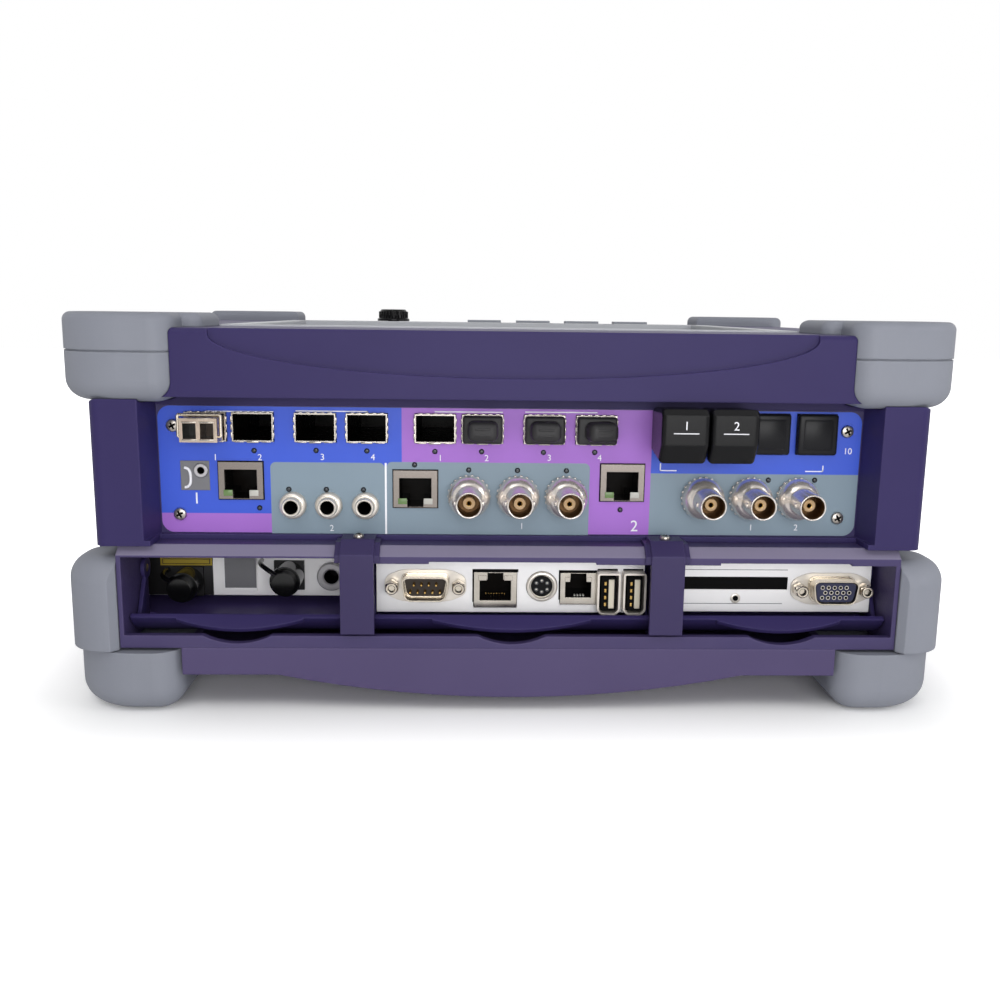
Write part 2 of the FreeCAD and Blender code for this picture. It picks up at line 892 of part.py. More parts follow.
def d_port(label, centre, plate, has_pins):
    start = plate - D_FLANGE.thick
    tip = start - D_SHELL.length
    tail_width = 2 * D_SHELL.half_top
    solid = fuse(
        f"{label}_solid",
        [
            block(f"{label}_flange", centre, (start, plate), D_FLANGE.width, D_FLANGE.height),
            block(f"{label}_tail", centre, (plate, plate + D_SHELL.tail), tail_width, D_SHELL.height),
            d_shell(f"{label}_shell", centre, start, 0, D_SHELL.length),
        ],
    )
    hollow_end = start - D_PINS.floor if has_pins else tip + D_HOLES.sunk
    hollow = d_shell(f"{label}_hollow", centre, hollow_end, D_SHELL.wall, hollow_end - tip + past)
    opened = cut(f"{label}_open", solid, [hollow])
    holes = [
        round_hole(f"{label}_screw_hole_{number}", spot, plate - 2 * past, D_FLANGE.screw_hole)
        for number, spot in enumerate(screw_spots(centre))
    ]
    if has_pins:
        pins = [opened]
        for row, count in enumerate(PIN_COUNTS):
            for column in range(count):
                at_x = centre[0] + (column - (count - 1) / 2) * D_PINS.pitch
                at_z = centre[1] + (row - 0.5) * D_PINS.row_pitch
                at = (at_x, tip + D_PINS.recess, at_z)
                length = D_SHELL.length - D_PINS.recess
                pins.append(rod(f"{label}_pin_{row}_{column}", D_PINS.radius, length, at, "+y"))
        return cut(f"{label}_cut", fuse(f"{label}_pinned", pins), holes)
    for row, count in enumerate(HOLE_COUNTS):
        stagger = D_HOLES.pitch / 4 if row == 1 else -D_HOLES.pitch / 4
        for column in range(count):
            at_x = centre[0] + (column - (count - 1) / 2) * D_HOLES.pitch + stagger
            at = (at_x, tip, centre[1] + (row - 1) * D_HOLES.row_pitch)
            holes.append(rod(f"{label}_contact_{row}_{column}", D_HOLES.radius, D_HOLES.depth, at, "+y"))
    return cut(f"{label}_cut", opened, holes)


def jackscrews(name, centre, plate):
    """The two hexagonal standoffs beside a D-shaped port, each with its threaded hole."""
    items = []
    start = plate - D_FLANGE.thick
    for number, (x, z) in enumerate(screw_spots(centre)):
        stud = hexagon(f"{name}_stud_{number}", JACKSCREW.radius, JACKSCREW.length, (x, start, z), "-y")
        stem = rod(f"{name}_stem_{number}", JACKSCREW.stem, JACKSCREW.stem_length, (x, start, z), "+y")
        hole_start = (x, start - JACKSCREW.length - past, z)
        hole = rod(f"{name}_hole_{number}", JACKSCREW.hole, JACKSCREW.hole_depth + past, hole_start, "+y")
        items.append(cut(f"{name}_cut_{number}", fuse(f"{name}_whole_{number}", [stud, stem]), [hole]))
    return items


# Middle plate of the base: serial port, network jack, keyboard port, telephone jack, USB ports.
middle_plate = front + d.middle_plate_setback
plate_reach = arm_in_middle - d.door_arm - d.cutout_gap
serial_at = (sized(-32.3), sized(44.6))
network_at = (sized(-5.9), sized(42.9))
keyboard_at = (sized(11.8), sized(44.2))
phone_at = (sized(25.6), sized(43.5))
usb_at = [(sized(36.8), sized(42.5)), (sized(46.6), sized(42.5))]
KEYBOARD = SimpleNamespace(radius=5.8, mouth=4.8, depth=8, proud=1, length=14)
KEYBOARD_KEY = SimpleNamespace(width=2.2, height=1.2, drop=1.2, setback=1.6)
USB = SimpleNamespace(width=7.2, height=14.8, mouth_width=5.2, mouth_height=12.6, length=17, proud=5, back=3)
USB_TONGUE = SimpleNamespace(thick=1.8, height=11.2, offset=0.9, recess=0.8)
middle_blank = box(
    "middle_blank",
    both(plate_reach),
    (middle_plate, middle_plate + d.plate_thick),
    (d.middle_plate_low, d.fascia_level),
)
middle_holes = [
    plate_hole("serial_hole", serial_at, middle_plate, sized(2 * D_SHELL.half_top), sized(D_SHELL.height)),
    plate_hole("network_hole", network_at, middle_plate, *JACK_OUTER),
    plate_hole("phone_hole", phone_at, middle_plate, *PHONE_OUTER),
    round_hole("keyboard_hole", keyboard_at, middle_plate, KEYBOARD.radius + d.cutout_gap),
]
for number, centre in enumerate(usb_at):
    size = (sized(USB.width), sized(USB.height))
    middle_holes.append(plate_hole(f"usb_hole_{number}", centre, middle_plate, *size))
for number, spot in enumerate(screw_spots(serial_at)):
    middle_holes.append(round_hole(f"serial_screw_{number}", spot, middle_plate, D_FLANGE.screw_hole))
node(cut("middle_cut", middle_blank, middle_holes), "middle_plate")
node(d_port("serial", serial_at, middle_plate, True), "serial_port")
network_jacks = [square_jack("network", network_at, middle_plate, JACK_OUTER, JACK_MOUTH, True)]
node(square_jack("phone", phone_at, middle_plate, PHONE_OUTER, PHONE_MOUTH, True), "phone_jack")
keyboard_tip = middle_plate - KEYBOARD.proud
keyboard_end = keyboard_tip + KEYBOARD.depth
keyboard_shell = rod(
    "keyboard_shell", KEYBOARD.radius, KEYBOARD.length, (keyboard_at[0], keyboard_tip, keyboard_at[1]), "+y"
)
keyboard_ring = rod(
    "keyboard_ring",
    KEYBOARD.mouth,
    KEYBOARD.depth + past,
    (keyboard_at[0], keyboard_tip - past, keyboard_at[1]),
    "+y",
)
keyboard_key = block(
    "keyboard_key",
    (keyboard_at[0], keyboard_at[1] - KEYBOARD_KEY.drop),
    (keyboard_tip + KEYBOARD_KEY.setback, keyboard_end + past),
    KEYBOARD_KEY.width,
    KEYBOARD_KEY.height,
)
keyboard_open = cut("keyboard_cut", keyboard_shell, [keyboard_ring])
node(fuse("keyboard_whole", [keyboard_open, keyboard_key]), "keyboard_port")
usb_items = []
usb_tip = middle_plate - USB.proud
usb_end = usb_tip + USB.length
for number, centre in enumerate(usb_at):
    can = block(f"usb_can_{number}", centre, (usb_tip, usb_end), USB.width, USB.height)
    mouth_y = (usb_tip - past, usb_end - USB.back)
    hollow = block(f"usb_mouth_{number}", centre, mouth_y, USB.mouth_width, USB.mouth_height)
    tongue = block(
        f"usb_tongue_{number}",
        (centre[0] + USB_TONGUE.offset, centre[1]),
        (usb_tip + USB_TONGUE.recess, usb_end - USB.back + past),
        USB_TONGUE.thick,
        USB_TONGUE.height,
    )
    usb_items.append(fuse(f"usb_{number}", [cut(f"usb_open_{number}", can, [hollow]), tongue]))
node(group("usb_set", usb_items), "usb_ports")

# Right plate of the base, between the arms of its door: card slot, small socket and video port.
right_plate = front + d.right_plate_setback
arm_clear = d.door_arm + d.cutout_gap
right_start = arm_in_side + arm_clear
right_end = arm_out_side - arm_clear
video_at = (right_end - D_FLANGE.width / 2 - d.flange_margin, sized(43.4))
card_start = right_start + d.card_margin
card_end = video_at[0] - D_FLANGE.width / 2 - d.card_gap
card_width = card_end - card_start
card_at = ((card_start + card_end) / 2, sized(45.3))
CARD = SimpleNamespace(height=5, depth=70, wall=1)
SOCKET = SimpleNamespace(offset=1.6, level=39.3, radius=1.7)
right_blank = box(
    "right_blank",
    (right_start, right_end),
    (right_plate, right_plate + d.plate_thick),
    (d.middle_plate_low, d.fascia_level),
)
card_hole_y = (right_plate - past, right_plate + d.plate_thick + past)
socket_at = (card_at[0] + SOCKET.offset, sized(SOCKET.level))
right_holes = [
    plate_hole("video_hole", video_at, right_plate, sized(2 * D_SHELL.half_top), sized(D_SHELL.height)),
    block("card_hole", card_at, card_hole_y, card_width, CARD.height),
    round_hole("socket_hole", socket_at, right_plate, SOCKET.radius),
]
for number, spot in enumerate(screw_spots(video_at)):
    right_holes.append(round_hole(f"video_screw_{number}", spot, right_plate, D_FLANGE.screw_hole))
node(cut("right_cut", right_blank, right_holes), "right_plate")
node(d_port("video", video_at, right_plate, False), "video_port")
jackscrew_items = jackscrews("serial_jack", serial_at, middle_plate)
jackscrew_items += jackscrews("video_jack", video_at, right_plate)
node(group("jackscrew_set", jackscrew_items), "jackscrews")
cage_front = right_plate + d.plate_thick
cage_end = cage_front + CARD.depth
card_box = block(
    "card_box", card_at, (cage_front, cage_end), card_width + 2 * CARD.wall, CARD.height + 2 * CARD.wall
)
card_space = block("card_space", card_at, (cage_front - past, cage_end - CARD.wall), card_width, CARD.height)
node(cut("card_cut", card_box, [card_space]), "card_cage")

# Left plates of the base, deeper in: a metal one and a black one, two fibre ports and a headset jack.
left_end = -(side - d.wall)
black_edge = left_end + d.black_plate_width
metal_width = -plate_inner - black_edge
LEFT = SimpleNamespace(black_fibre_margin=9.7, cover_share=0.182, fibre_share=0.517, headset_share=0.804)
COVER = SimpleNamespace(width=13.6, height=14, level=41.2, thick=1.2)
FIBRE = SimpleNamespace(flange=12, flange_thick=1.5, radius=4, bore=1.25, bore_depth=14, length=8, tail=22)
FIBRE_CAP = SimpleNamespace(radius=6, length=10, gap=0.06, end_gap=0.2, grip=4.6, grip_length=4)
HEADSET = SimpleNamespace(radius=5.8, bore=2.9, wall=1.2, proud=2.6, depth=16, bore_depth=13)
fibre_at = {
    "black": (black_edge - LEFT.black_fibre_margin, sized(38.4)),
    "metal": (black_edge + LEFT.fibre_share * metal_width, sized(41)),
}
headset_at = (black_edge + LEFT.headset_share * metal_width, sized(40.6))
headset_barrel = HEADSET.bore + HEADSET.wall
left_limits = {"black": (left_end, black_edge), "metal": (black_edge, -plate_inner)}
left_plates = []
for name, limits in left_limits.items():
    blank = box(
        f"left_{name}_blank",
        limits,
        (left_plate_y, left_plate_y + d.plate_thick),
        (d.left_plate_low, d.fascia_level),
    )
    holes = [round_hole(f"fibre_hole_{name}", fibre_at[name], left_plate_y, FIBRE.radius + d.cutout_gap)]
    if name == "metal":
        holes.append(round_hole("headset_hole", headset_at, left_plate_y, headset_barrel + d.cutout_gap))
    left_plates.append(cut(f"left_{name}_cut", blank, holes))
cover_at = (black_edge + LEFT.cover_share * metal_width, sized(COVER.level))
cover_y = (left_plate_y - COVER.thick, left_plate_y)
cover_plate = block("cover_plate", cover_at, cover_y, COVER.width, COVER.height)
left_plates[1] = fuse("left_metal_whole", [left_plates[1], cover_plate])
node(group("left_plate_set", left_plates), "left_plates")
fibre_items = []
flange_front = left_plate_y - FIBRE.flange_thick
fibre_tip = flange_front - FIBRE.length
skirt_start = flange_front - FIBRE_CAP.length
for name, (x, z) in fibre_at.items():
    flange_y = (flange_front, left_plate_y)
    flange = block(f"fibre_flange_{name}", (x, z), flange_y, FIBRE.flange, FIBRE.flange)
    barrel = rod(f"fibre_barrel_{name}", FIBRE.radius, FIBRE.length + FIBRE.tail, (x, fibre_tip, z), "+y")
    bore = rod(f"fibre_bore_{name}", FIBRE.bore, FIBRE.bore_depth + past, (x, fibre_tip - past, z), "+y")
    fibre_items.append(cut(f"fibre_cut_{name}", fuse(f"fibre_whole_{name}", [flange, barrel]), [bore]))
    skirt = rod(f"fibre_skirt_{name}", FIBRE_CAP.radius, FIBRE_CAP.length, (x, skirt_start, z), "+y")
    grip = rod(f"fibre_grip_{name}", FIBRE_CAP.grip, FIBRE_CAP.grip_length, (x, skirt_start, z), "-y")
    socket = rod(
        f"fibre_socket_{name}",
        FIBRE.radius + FIBRE_CAP.gap,
        FIBRE.length + past,
        (x, fibre_tip - FIBRE_CAP.end_gap, z),
        "+y",
    )
    cap = fuse(f"fibre_cap_whole_{name}", [skirt, grip])
    node(cut(f"fibre_cap_cut_{name}", cap, [socket]), f"fibre_cap_{name}")
node(group("fibre_set", fibre_items), "fibre_ports")
headset_x, headset_z = headset_at
headset_tip = left_plate_y - HEADSET.proud
headset_ring = rod("headset_ring", HEADSET.radius, HEADSET.proud, (headset_x, headset_tip, headset_z), "+y")
headset_body = rod("headset_body", headset_barrel, HEADSET.depth, (headset_x, left_plate_y, headset_z), "+y")
headset_bore = rod(
    "headset_bore", HEADSET.bore, HEADSET.bore_depth + past, (headset_x, headset_tip - past, headset_z), "+y"
)
headset_jacks = [cut("headset_cut", fuse("headset_whole", [headset_ring, headset_body]), [headset_bore])]

# Module housing: a drawer between base and top, its front recessed between two round-edged cheeks.
module_half = d.module_width / 2
module_plate = front + d.module_plate_setback
plate_half = d.module_plate_width / 2
plate_low = d.ledge_level + d.module_plate_rise
plate_top = module_top - d.module_plate_drop
bulkhead_y = module_plate + d.plate_thick
module_floor = d.ledge_level + d.wall
module_ceiling = bumper_low - d.seat_gap - d.wall
module_block = doc.addObject("PartDesign::Body", "module_block")
module_plan = outline(
    module_block,
    "module_plan",
    "XY_Plane",
    [
        (-module_half, face + d.cheek_radius),
        (-module_half + d.cheek_radius, face),
        (module_half - d.cheek_radius, face),
        (module_half, face + d.cheek_radius),
        (module_half, back),
        (-module_half, back),
    ],
    {0: d.cheek_radius * QUARTER_BULGE, 2: d.cheek_radius * QUARTER_BULGE},
    d.ledge_level,
)
pad(module_block, module_plan, module_top - d.ledge_level)
recess = doc.addObject("PartDesign::Body", "module_recess")
recess_outline = outline(
    recess,
    "recess_outline",
    "XY_Plane",
    [
        (-(plate_half + d.cheek_slope), face - past),
        (plate_half + d.cheek_slope, face - past),
        (plate_half, module_plate),
        (-plate_half, module_plate),
    ],
    level=plate_low,
)
pad(recess, recess_outline, module_top - plate_low + past)
module_cuts = [
    recess,
    box(
        "module_toe",
        both(plate_half),
        (face - past, module_plate - d.lower_lip),
        (d.ledge_level - past, plate_low + past),
    ),
    box(
        "module_seat",
        both(plate_half),
        (module_plate - past, bulkhead_y),
        (plate_low, plate_top),
    ),
    box(
        "module_mouth",
        both(plate_half - d.bulkhead_ledge),
        (bulkhead_y - past, bulkhead_y + d.bulkhead + past),
        (plate_low + d.wall, plate_top - past),
    ),
    box(
        "module_hollow",
        both(module_half - d.wall),
        (bulkhead_y + d.bulkhead, back - d.wall),
        (module_floor, module_ceiling),
    ),
]
notch = doc.addObject("PartDesign::Body", "bumper_notch")
notch_radius = d.bumper_edge_radius + d.seat_gap
notch_low = bumper_low - d.seat_gap
notch_plan = outline(
    notch,
    "bumper_notch_plan",
    "XY_Plane",
    [
        (bumper_x - d.seat_gap, front + d.bumper_edge_radius),
        (bumper_x + d.bumper_edge_radius, front - d.seat_gap),
        (half_width + d.seat_gap, front - d.seat_gap),
        (half_width + d.seat_gap, -bumper_y - d.bumper_edge_radius),
        (half_width - d.bumper_edge_radius, -bumper_y + d.seat_gap),
        (bumper_x - d.seat_gap, -bumper_y + d.seat_gap),
    ],
    {0: notch_radius * QUARTER_BULGE, 3: notch_radius * QUARTER_BULGE},
    notch_low,
)
pad(notch, notch_plan, deck - notch_low + past)
rounded(notch, d.bumper_low_radius + d.seat_gap, at_level(notch_low.value))
bumper_notches = corner_set("bumper_notch", notch)
module_cuts += bumper_notches
vent_level = (module_floor + module_ceiling) / 2
vent_y = (back - d.wall - past, back + past)
for number in range(int(d.vent_count.value)):
    offset = (number - (d.vent_count - 1) / 2) * d.vent_pitch
    module_cuts.append(block(f"vent_{number}", (offset, vent_level), vent_y, d.vent_width, d.vent_height))
node(cut("module_cut", module_block, module_cuts), "module_housing")

# Module front plate, with every connector's cut-out. The cages and adaptors hang from its top edge, and
# the lower row shares the room that is left under the cages.
cage_z = plate_top - d.cage_drop
adaptor_z = plate_top - d.adaptor_drop
lower_room = cage_z - d.cage_height / 2 - plate_low
coax_z = plate_low + d.coax_share * lower_room
bantam_z = plate_low + d.bantam_share * lower_room
ADAPTOR_COUNT = 4
cage_x = [-112.3, -95.2, -72.5, -53.7, -28.7, -11.3, 11.5, 30.7]
bantam_x = [-81.2, -68, -54.4]
coax_x = [-16.1, 2.1, 20, 71.1, 89.1, 106.9]
adaptor_x = [d.adaptor_first + number * d.adaptor_pitch for number in range(ADAPTOR_COUNT)]
LOWER_ROW = {"left": (-100.1, 0.5785), "middle": (-36, 0.5), "right": (40.9, 0.5843)}
port_at = {name: (sized(x), plate_low + share * lower_room) for name, (x, share) in LOWER_ROW.items()}
TALK = SimpleNamespace(x=-114.6, share=0.6831, radius=2.6, bore=1.3, proud=0.8, depth=14, bore_depth=11)
talk_at = (sized(TALK.x), plate_low + TALK.share * lower_room)
PLATE_SCREW = SimpleNamespace(top_x=124.2, top_drop=7.5, low_x=122.8, low_share=0.2093, hole=1.6)
SCREW = SimpleNamespace(head=2.8, head_height=1.4, stem=1.5)
plate_screw_at = []
for sign in (-1, 1):
    plate_screw_at.append((sized(sign * PLATE_SCREW.top_x), plate_top - PLATE_SCREW.top_drop))
    plate_screw_at.append((sized(sign * PLATE_SCREW.low_x), plate_low + PLATE_SCREW.low_share * lower_room))
coax_neck = d.coax_nut_radius * d.coax_neck_share
adaptor_body = (d.adaptor_width - 2 * d.adaptor_shoulder, d.adaptor_height - 2 * d.adaptor_shoulder)
module_blank = box(
    "module_blank",
    both(plate_half),
    (module_plate, module_plate + d.plate_thick),
    (plate_low, plate_top),
)
module_holes = [round_hole("talk_hole", talk_at, module_plate, TALK.radius + d.cutout_gap)]
for number, x in enumerate(cage_x):
    size = (d.cage_width, d.cage_height)
    module_holes.append(plate_hole(f"cage_hole_{number}", (x, cage_z), module_plate, *size))
for name, centre in port_at.items():
    module_holes.append(plate_hole(f"port_hole_{name}", centre, module_plate, *JACK_OUTER))
for number, x in enumerate(bantam_x):
    radius = d.bantam_radius + d.cutout_gap
    module_holes.append(round_hole(f"bantam_hole_{number}", (x, bantam_z), module_plate, radius))
for number, x in enumerate(coax_x):
    radius = coax_neck + d.cutout_gap
    module_holes.append(round_hole(f"coax_hole_{number}", (x, coax_z), module_plate, radius))
for number, x in enumerate(adaptor_x):
    module_holes.append(plate_hole(f"adaptor_hole_{number}", (x, adaptor_z), module_plate, *adaptor_body))
for number, centre in enumerate(plate_screw_at):
    module_holes.append(round_hole(f"plate_screw_hole_{number}", centre, module_plate, PLATE_SCREW.hole))
node(cut("module_plate_cut", module_blank, module_holes), "module_plate")

# Transceiver cages: folded sheet boxes, open to the front.
cage_tip = module_plate - d.cage_lip
cage_back = module_plate + d.cage_length
cage_inner = (d.cage_width - 2 * d.cage_wall, d.cage_height - 2 * d.cage_wall)
cages = []
for number, x in enumerate(cage_x):
    centre = (x, cage_z)
    shell = block(f"cage_shell_{number}", centre, (cage_tip, cage_back), d.cage_width, d.cage_height)
    hollow = block(f"cage_space_{number}", centre, (cage_tip - past, cage_back - d.cage_wall), *cage_inner)
    cages.append(cut(f"cage_{number}", shell, [hollow]))
node(group("cage_set_left", cages[:4]), "cages_left")
node(group("cage_set_right", cages[4:]), "cages_right")

# Optical transceiver in the first cage: two fibre mouths side by side, and a wire bail in front.
OPTIC = SimpleNamespace(mouth_offset=3.1, mouth_drop=0.3, mouth_width=4.7, mouth_height=5.6, mouth_depth=9)
BAIL = SimpleNamespace(wire=0.6, gap=0.3, peg=0.5, peg_length=0.9, low=1.8, setback=2.2, over=1)
optic_x = cage_x[0]
cage_floor = cage_z - d.cage_height / 2 + d.cage_wall
optic_z = cage_floor + d.seat_gap + d.transceiver_height / 2
optic_front = module_plate - d.transceiver_front
optic_body = block(
    "optic_body",
    (optic_x, optic_z),
    (optic_front, optic_front + d.transceiver_length),
    d.transceiver_width,
    d.transceiver_height,
)
optic_mouths = [
    block(
        f"optic_mouth_{sign}",
        (optic_x + sign * OPTIC.mouth_offset, optic_z - OPTIC.mouth_drop),
        (optic_front - past, optic_front + OPTIC.mouth_depth),
        OPTIC.mouth_width,
        OPTIC.mouth_height,
    )
    for sign in (-1, 1)
]
bail_y = optic_front + BAIL.setback
bail_low = optic_z - d.transceiver_height / 2 + BAIL.low
bail_top = optic_z + d.transceiver_height / 2 + BAIL.over
bail_half = d.transceiver_width / 2 + BAIL.wire + BAIL.gap
peg_reach = BAIL.wire + BAIL.gap + BAIL.peg_length
bail_pieces = [rod("bail_bar", BAIL.wire, 2 * bail_half, (optic_x - bail_half, bail_y, bail_top), "+x")]
peg_holes = []
for sign in (-1, 1):
    arm_x = optic_x + sign * bail_half
    peg_x = arm_x if sign < 0 else arm_x - peg_reach
    peg_at = (peg_x, bail_y, bail_low)
    bail_pieces.append(
        rod(f"bail_arm_{sign}", BAIL.wire, bail_top - bail_low, (arm_x, bail_y, bail_low), "+z")
    )
    bail_pieces.append(rod(f"bail_peg_{sign}", BAIL.peg, peg_reach, peg_at, "+x"))
    hole_at = (peg_x - d.cutout_gap, bail_y, bail_low)
    hole_length = peg_reach + 2 * d.cutout_gap
    peg_holes.append(rod(f"peg_hole_{sign}", BAIL.peg + d.running_gap, hole_length, hole_at, "+x"))
node(cut("optic_cut", optic_body, optic_mouths + peg_holes), "transceiver")
node(fuse("bail_whole", bail_pieces), "transceiver_bail")

# Rubber plugs in three of the cages of the second group, each with a head and a flat grip.
PLUG_STEM = SimpleNamespace(width=13.2, height=8.8, length=14)
PLUG_HEAD = SimpleNamespace(width=14.6, height=10.2, length=3)
PLUG_GRIP = SimpleNamespace(width=11, height=7.2, length=7)
plug_seat = cage_tip - d.seat_gap
for label, x in zip(("plug_second", "plug_third", "plug_fourth"), cage_x[5:]):
    parts = []
    start = plug_seat + PLUG_STEM.length
    for name, part in (("stem", PLUG_STEM), ("head", PLUG_HEAD), ("grip", PLUG_GRIP)):
        end = start - part.length
        parts.append(block(f"{label}_{name}", (x, cage_z), (end, start), part.width, part.height))
        start = end
    node(fuse(f"{label}_whole", parts), label)

# Three square jacks on the module plate.
for name, centre in port_at.items():
    network_jacks.append(square_jack(f"port_{name}", centre, module_plate, JACK_OUTER, JACK_MOUTH, False))
node(group("network_set", network_jacks), "network_jacks")

# Bantam jacks: a hexagonal nut on a threaded barrel, bored for the plug.
bantams = []
bantam_tip = module_plate - d.bantam_length
bantam_reach = d.bantam_length + d.tail_length
for number, x in enumerate(bantam_x):
    nut_at = (x, module_plate, bantam_z)
    nut = hexagon(f"bantam_nut_{number}", d.bantam_nut, d.bantam_length / 2, nut_at, "-y")
    barrel = rod(f"bantam_barrel_{number}", d.bantam_radius, bantam_reach, (x, bantam_tip, bantam_z), "+y")
    bore_at = (x, bantam_tip - past, bantam_z)
    bore = rod(f"bantam_bore_{number}", d.bantam_bore, bantam_reach - 2 * past, bore_at, "+y")
    bantams.append(cut(f"bantam_{number}", fuse(f"bantam_whole_{number}", [nut, barrel]), [bore]))
node(group("bantam_set", bantams), "bantam_jacks")

# Coaxial jacks: a wide nut, a barrel with two bayonet lugs, an insulator tube and a centre contact.
coax_items = []
coax_cores = []
coax_tip = module_plate - d.coax_length
core_tip = coax_tip + d.coax_core_recess
core_length = d.coax_bore_depth - d.coax_core_recess
for number, x in enumerate(coax_x):
    tip_at = (x, coax_tip, coax_z)
    nut_at = (x, module_plate, coax_z)
    lug_at = (x - d.coax_lug_span / 2, coax_tip + d.coax_lug_setback, coax_z)
    bore_at = (x, coax_tip - past, coax_z)
    whole = fuse(
        f"coax_whole_{number}",
        [
            rod(f"coax_nut_{number}", d.coax_nut_radius, d.coax_nut_thick, nut_at, "-y"),
            rod(f"coax_barrel_{number}", d.coax_radius, d.coax_length, tip_at, "+y"),
            rod(f"coax_neck_{number}", coax_neck, d.tail_length, nut_at, "+y"),
            rod(f"coax_lugs_{number}", d.coax_lug_radius, d.coax_lug_span, lug_at, "+x"),
        ],
    )
    bore = rod(f"coax_bore_{number}", d.coax_bore, d.coax_bore_depth + past, bore_at, "+y")
    coax_items.append(cut(f"coax_{number}", whole, [bore]))
    core = rod(f"coax_core_{number}", d.coax_core_radius, core_length, (x, core_tip, coax_z), "+y")
    contact_at = (x, core_tip - past, coax_z)
    contact = rod(f"coax_contact_{number}", d.coax_contact_radius, core_length, contact_at, "+y")
    coax_cores.append(cut(f"coax_core_cut_{number}", core, [contact]))
node(group("coax_set", coax_items), "coax_jacks")
node(group("coax_core_set", coax_cores), "coax_cores")

# Headset jack of the module, the plate's screws, and the four optical adaptors.
talk_tip = module_plate - TALK.proud
talk_body = rod("talk_body", TALK.radius, TALK.depth, (talk_at[0], talk_tip, talk_at[1]), "+y")
talk_mouth = (talk_at[0], talk_tip - past, talk_at[1])
talk_bore = rod("talk_bore", TALK.bore, TALK.bore_depth + past, talk_mouth, "+y")
headset_jacks.append(cut("talk_cut", talk_body, [talk_bore]))
node(group("headset_set", headset_jacks), "headset_jacks")
screws = []
for number, (x, z) in enumerate(plate_screw_at):
    head = rod(f"plate_screw_head_{number}", SCREW.head, SCREW.head_height, (x, module_plate, z), "-y")
    stem = rod(f"plate_screw_stem_{number}", SCREW.stem, d.plate_thick, (x, module_plate, z), "+y")
    screws.append(fuse(f"plate_screw_{number}", [head, stem]))
node(group("screw_set", screws + strap_screws), "screws")
adaptors = []
adaptor_front = module_plate - d.adaptor_lip
adaptor_y = (module_plate, module_plate + d.tail_length)
for number, x in enumerate(adaptor_x):
    centre = (x, adaptor_z)
    lip_y = (adaptor_front, module_plate)
    lip = block(f"adaptor_lip_{number}", centre, lip_y, d.adaptor_width, d.adaptor_height)
    sleeve = block(f"adaptor_body_{number}", centre, adaptor_y, *adaptor_body)
    whole = fuse(f"adaptor_whole_{number}", [lip, sleeve])
    bore_at = (x, adaptor_front - past, adaptor_z)
    bore = rod(f"adaptor_bore_{number}", d.adaptor_bore, d.adaptor_bore_depth + past, bore_at, "+y")
    adaptors.append(cut(f"adaptor_{number}", whole, [bore]))
node(group("adaptor_set", adaptors), "optical_adaptors")

# Caps on the adaptors: two tall ones with a slanted underside, and two flat covers, each on a short plug.
cap_low = adaptor_z - d.cap_below
cap_top = adaptor_z + d.cap_above
CAP = SimpleNamespace(chamfer_share=0.7, back_rise=2, back_drop=1, nose_drop=2, round_reach=12)
nose = adaptor_front - d.cap_length


def adaptor_plug(label, x):
    at = (x, adaptor_front, adaptor_z)
    return rod(label + "_plug", d.adaptor_bore - d.seat_gap, d.cap_plug_length, at, "+y")


def cap_edge(edge):
    across = abs(edge.tangentAt(edge.FirstParameter).x)
    return across < 1 - ALIGNED and edge.BoundBox.YMin < nose.value + CAP.round_reach


for label, x in zip(("optical_cap_left", "optical_cap_right"), adaptor_x[:2]):
    body = doc.addObject("PartDesign::Body", label + "_body")
    profile = outline(
        body,
        label + "_outline",
        "YZ_Plane",
        [
            (nose, cap_low + d.cap_chamfer),
            (nose + d.cap_chamfer * CAP.chamfer_share, cap_low),
            (adaptor_front, cap_low + CAP.back_rise),
            (adaptor_front, cap_top - CAP.back_drop),
            (nose + CAP.nose_drop, cap_top),
            (nose, cap_top - CAP.nose_drop),
        ],
        level=x - d.cap_width / 2,
    )
    pad(body, profile, d.cap_width)
    rounded(body, d.cap_edge_radius, cap_edge)
    node(fuse(label + "_whole", [body, adaptor_plug(label, x)]), label)
for label, x in zip(("optical_cover_left", "optical_cover_right"), adaptor_x[2:]):
    slab_y = (adaptor_front - d.cover_thick, adaptor_front)
    slab = block(label + "_slab", (x, adaptor_z), slab_y, d.adaptor_width, d.adaptor_height)
    node(fuse(label + "_whole", [slab, adaptor_plug(label, x)]), label)

# Top housing: a lid with a smile-shaped scoop in its front, and wells for display, keys and knob.
lid = doc.addObject("PartDesign::Body", "lid")
lid_plan = outline(
    lid, "lid_plan", "XY_Plane", [(-side, face), (side, face), (side, back), (-side, back)], level=module_top
)
pad(lid, lid_plan, deck - module_top)
rounded(lid, d.deck_edge_radius, at_level(deck.value))
smile_level = deck - d.smile_start
smile_curve = doc.addObject("Part::Ellipse", "smile_curve")
bind(smile_curve, "MajorRadius", d.smile_half_width)
bind(smile_curve, "MinorRadius", d.smile_drop)
place(smile_curve, 0, face - past, smile_level, ALONG["-y"])
smile_low = doc.addObject("Part::Extrusion", "smile_low")
smile_low.Base = smile_curve
smile_low.DirMode = "Custom"
smile_low.Dir = Vector(0, 1, 0)
smile_low.Solid = True
bind(smile_low, "LengthFwd", d.smile_depth + past)
smile_y = (face - past, face + d.smile_depth)
smile_high = box("smile_high", both(d.smile_half_width), smile_y, (smile_level, deck + past))
display_y = (-d.display_height / 2 - d.display_centre, d.display_height / 2 - d.display_centre)
bezel_y = (display_y[0] - d.bezel_rim, display_y[1] + d.bezel_rim)
bezel_x = both(d.display_width / 2 + d.bezel_rim)
well_low = deck - d.bezel_depth - d.panel_thick
lid_under = deck - d.wall
hollow_x = both(bumper_x - d.seat_gap - d.wall)
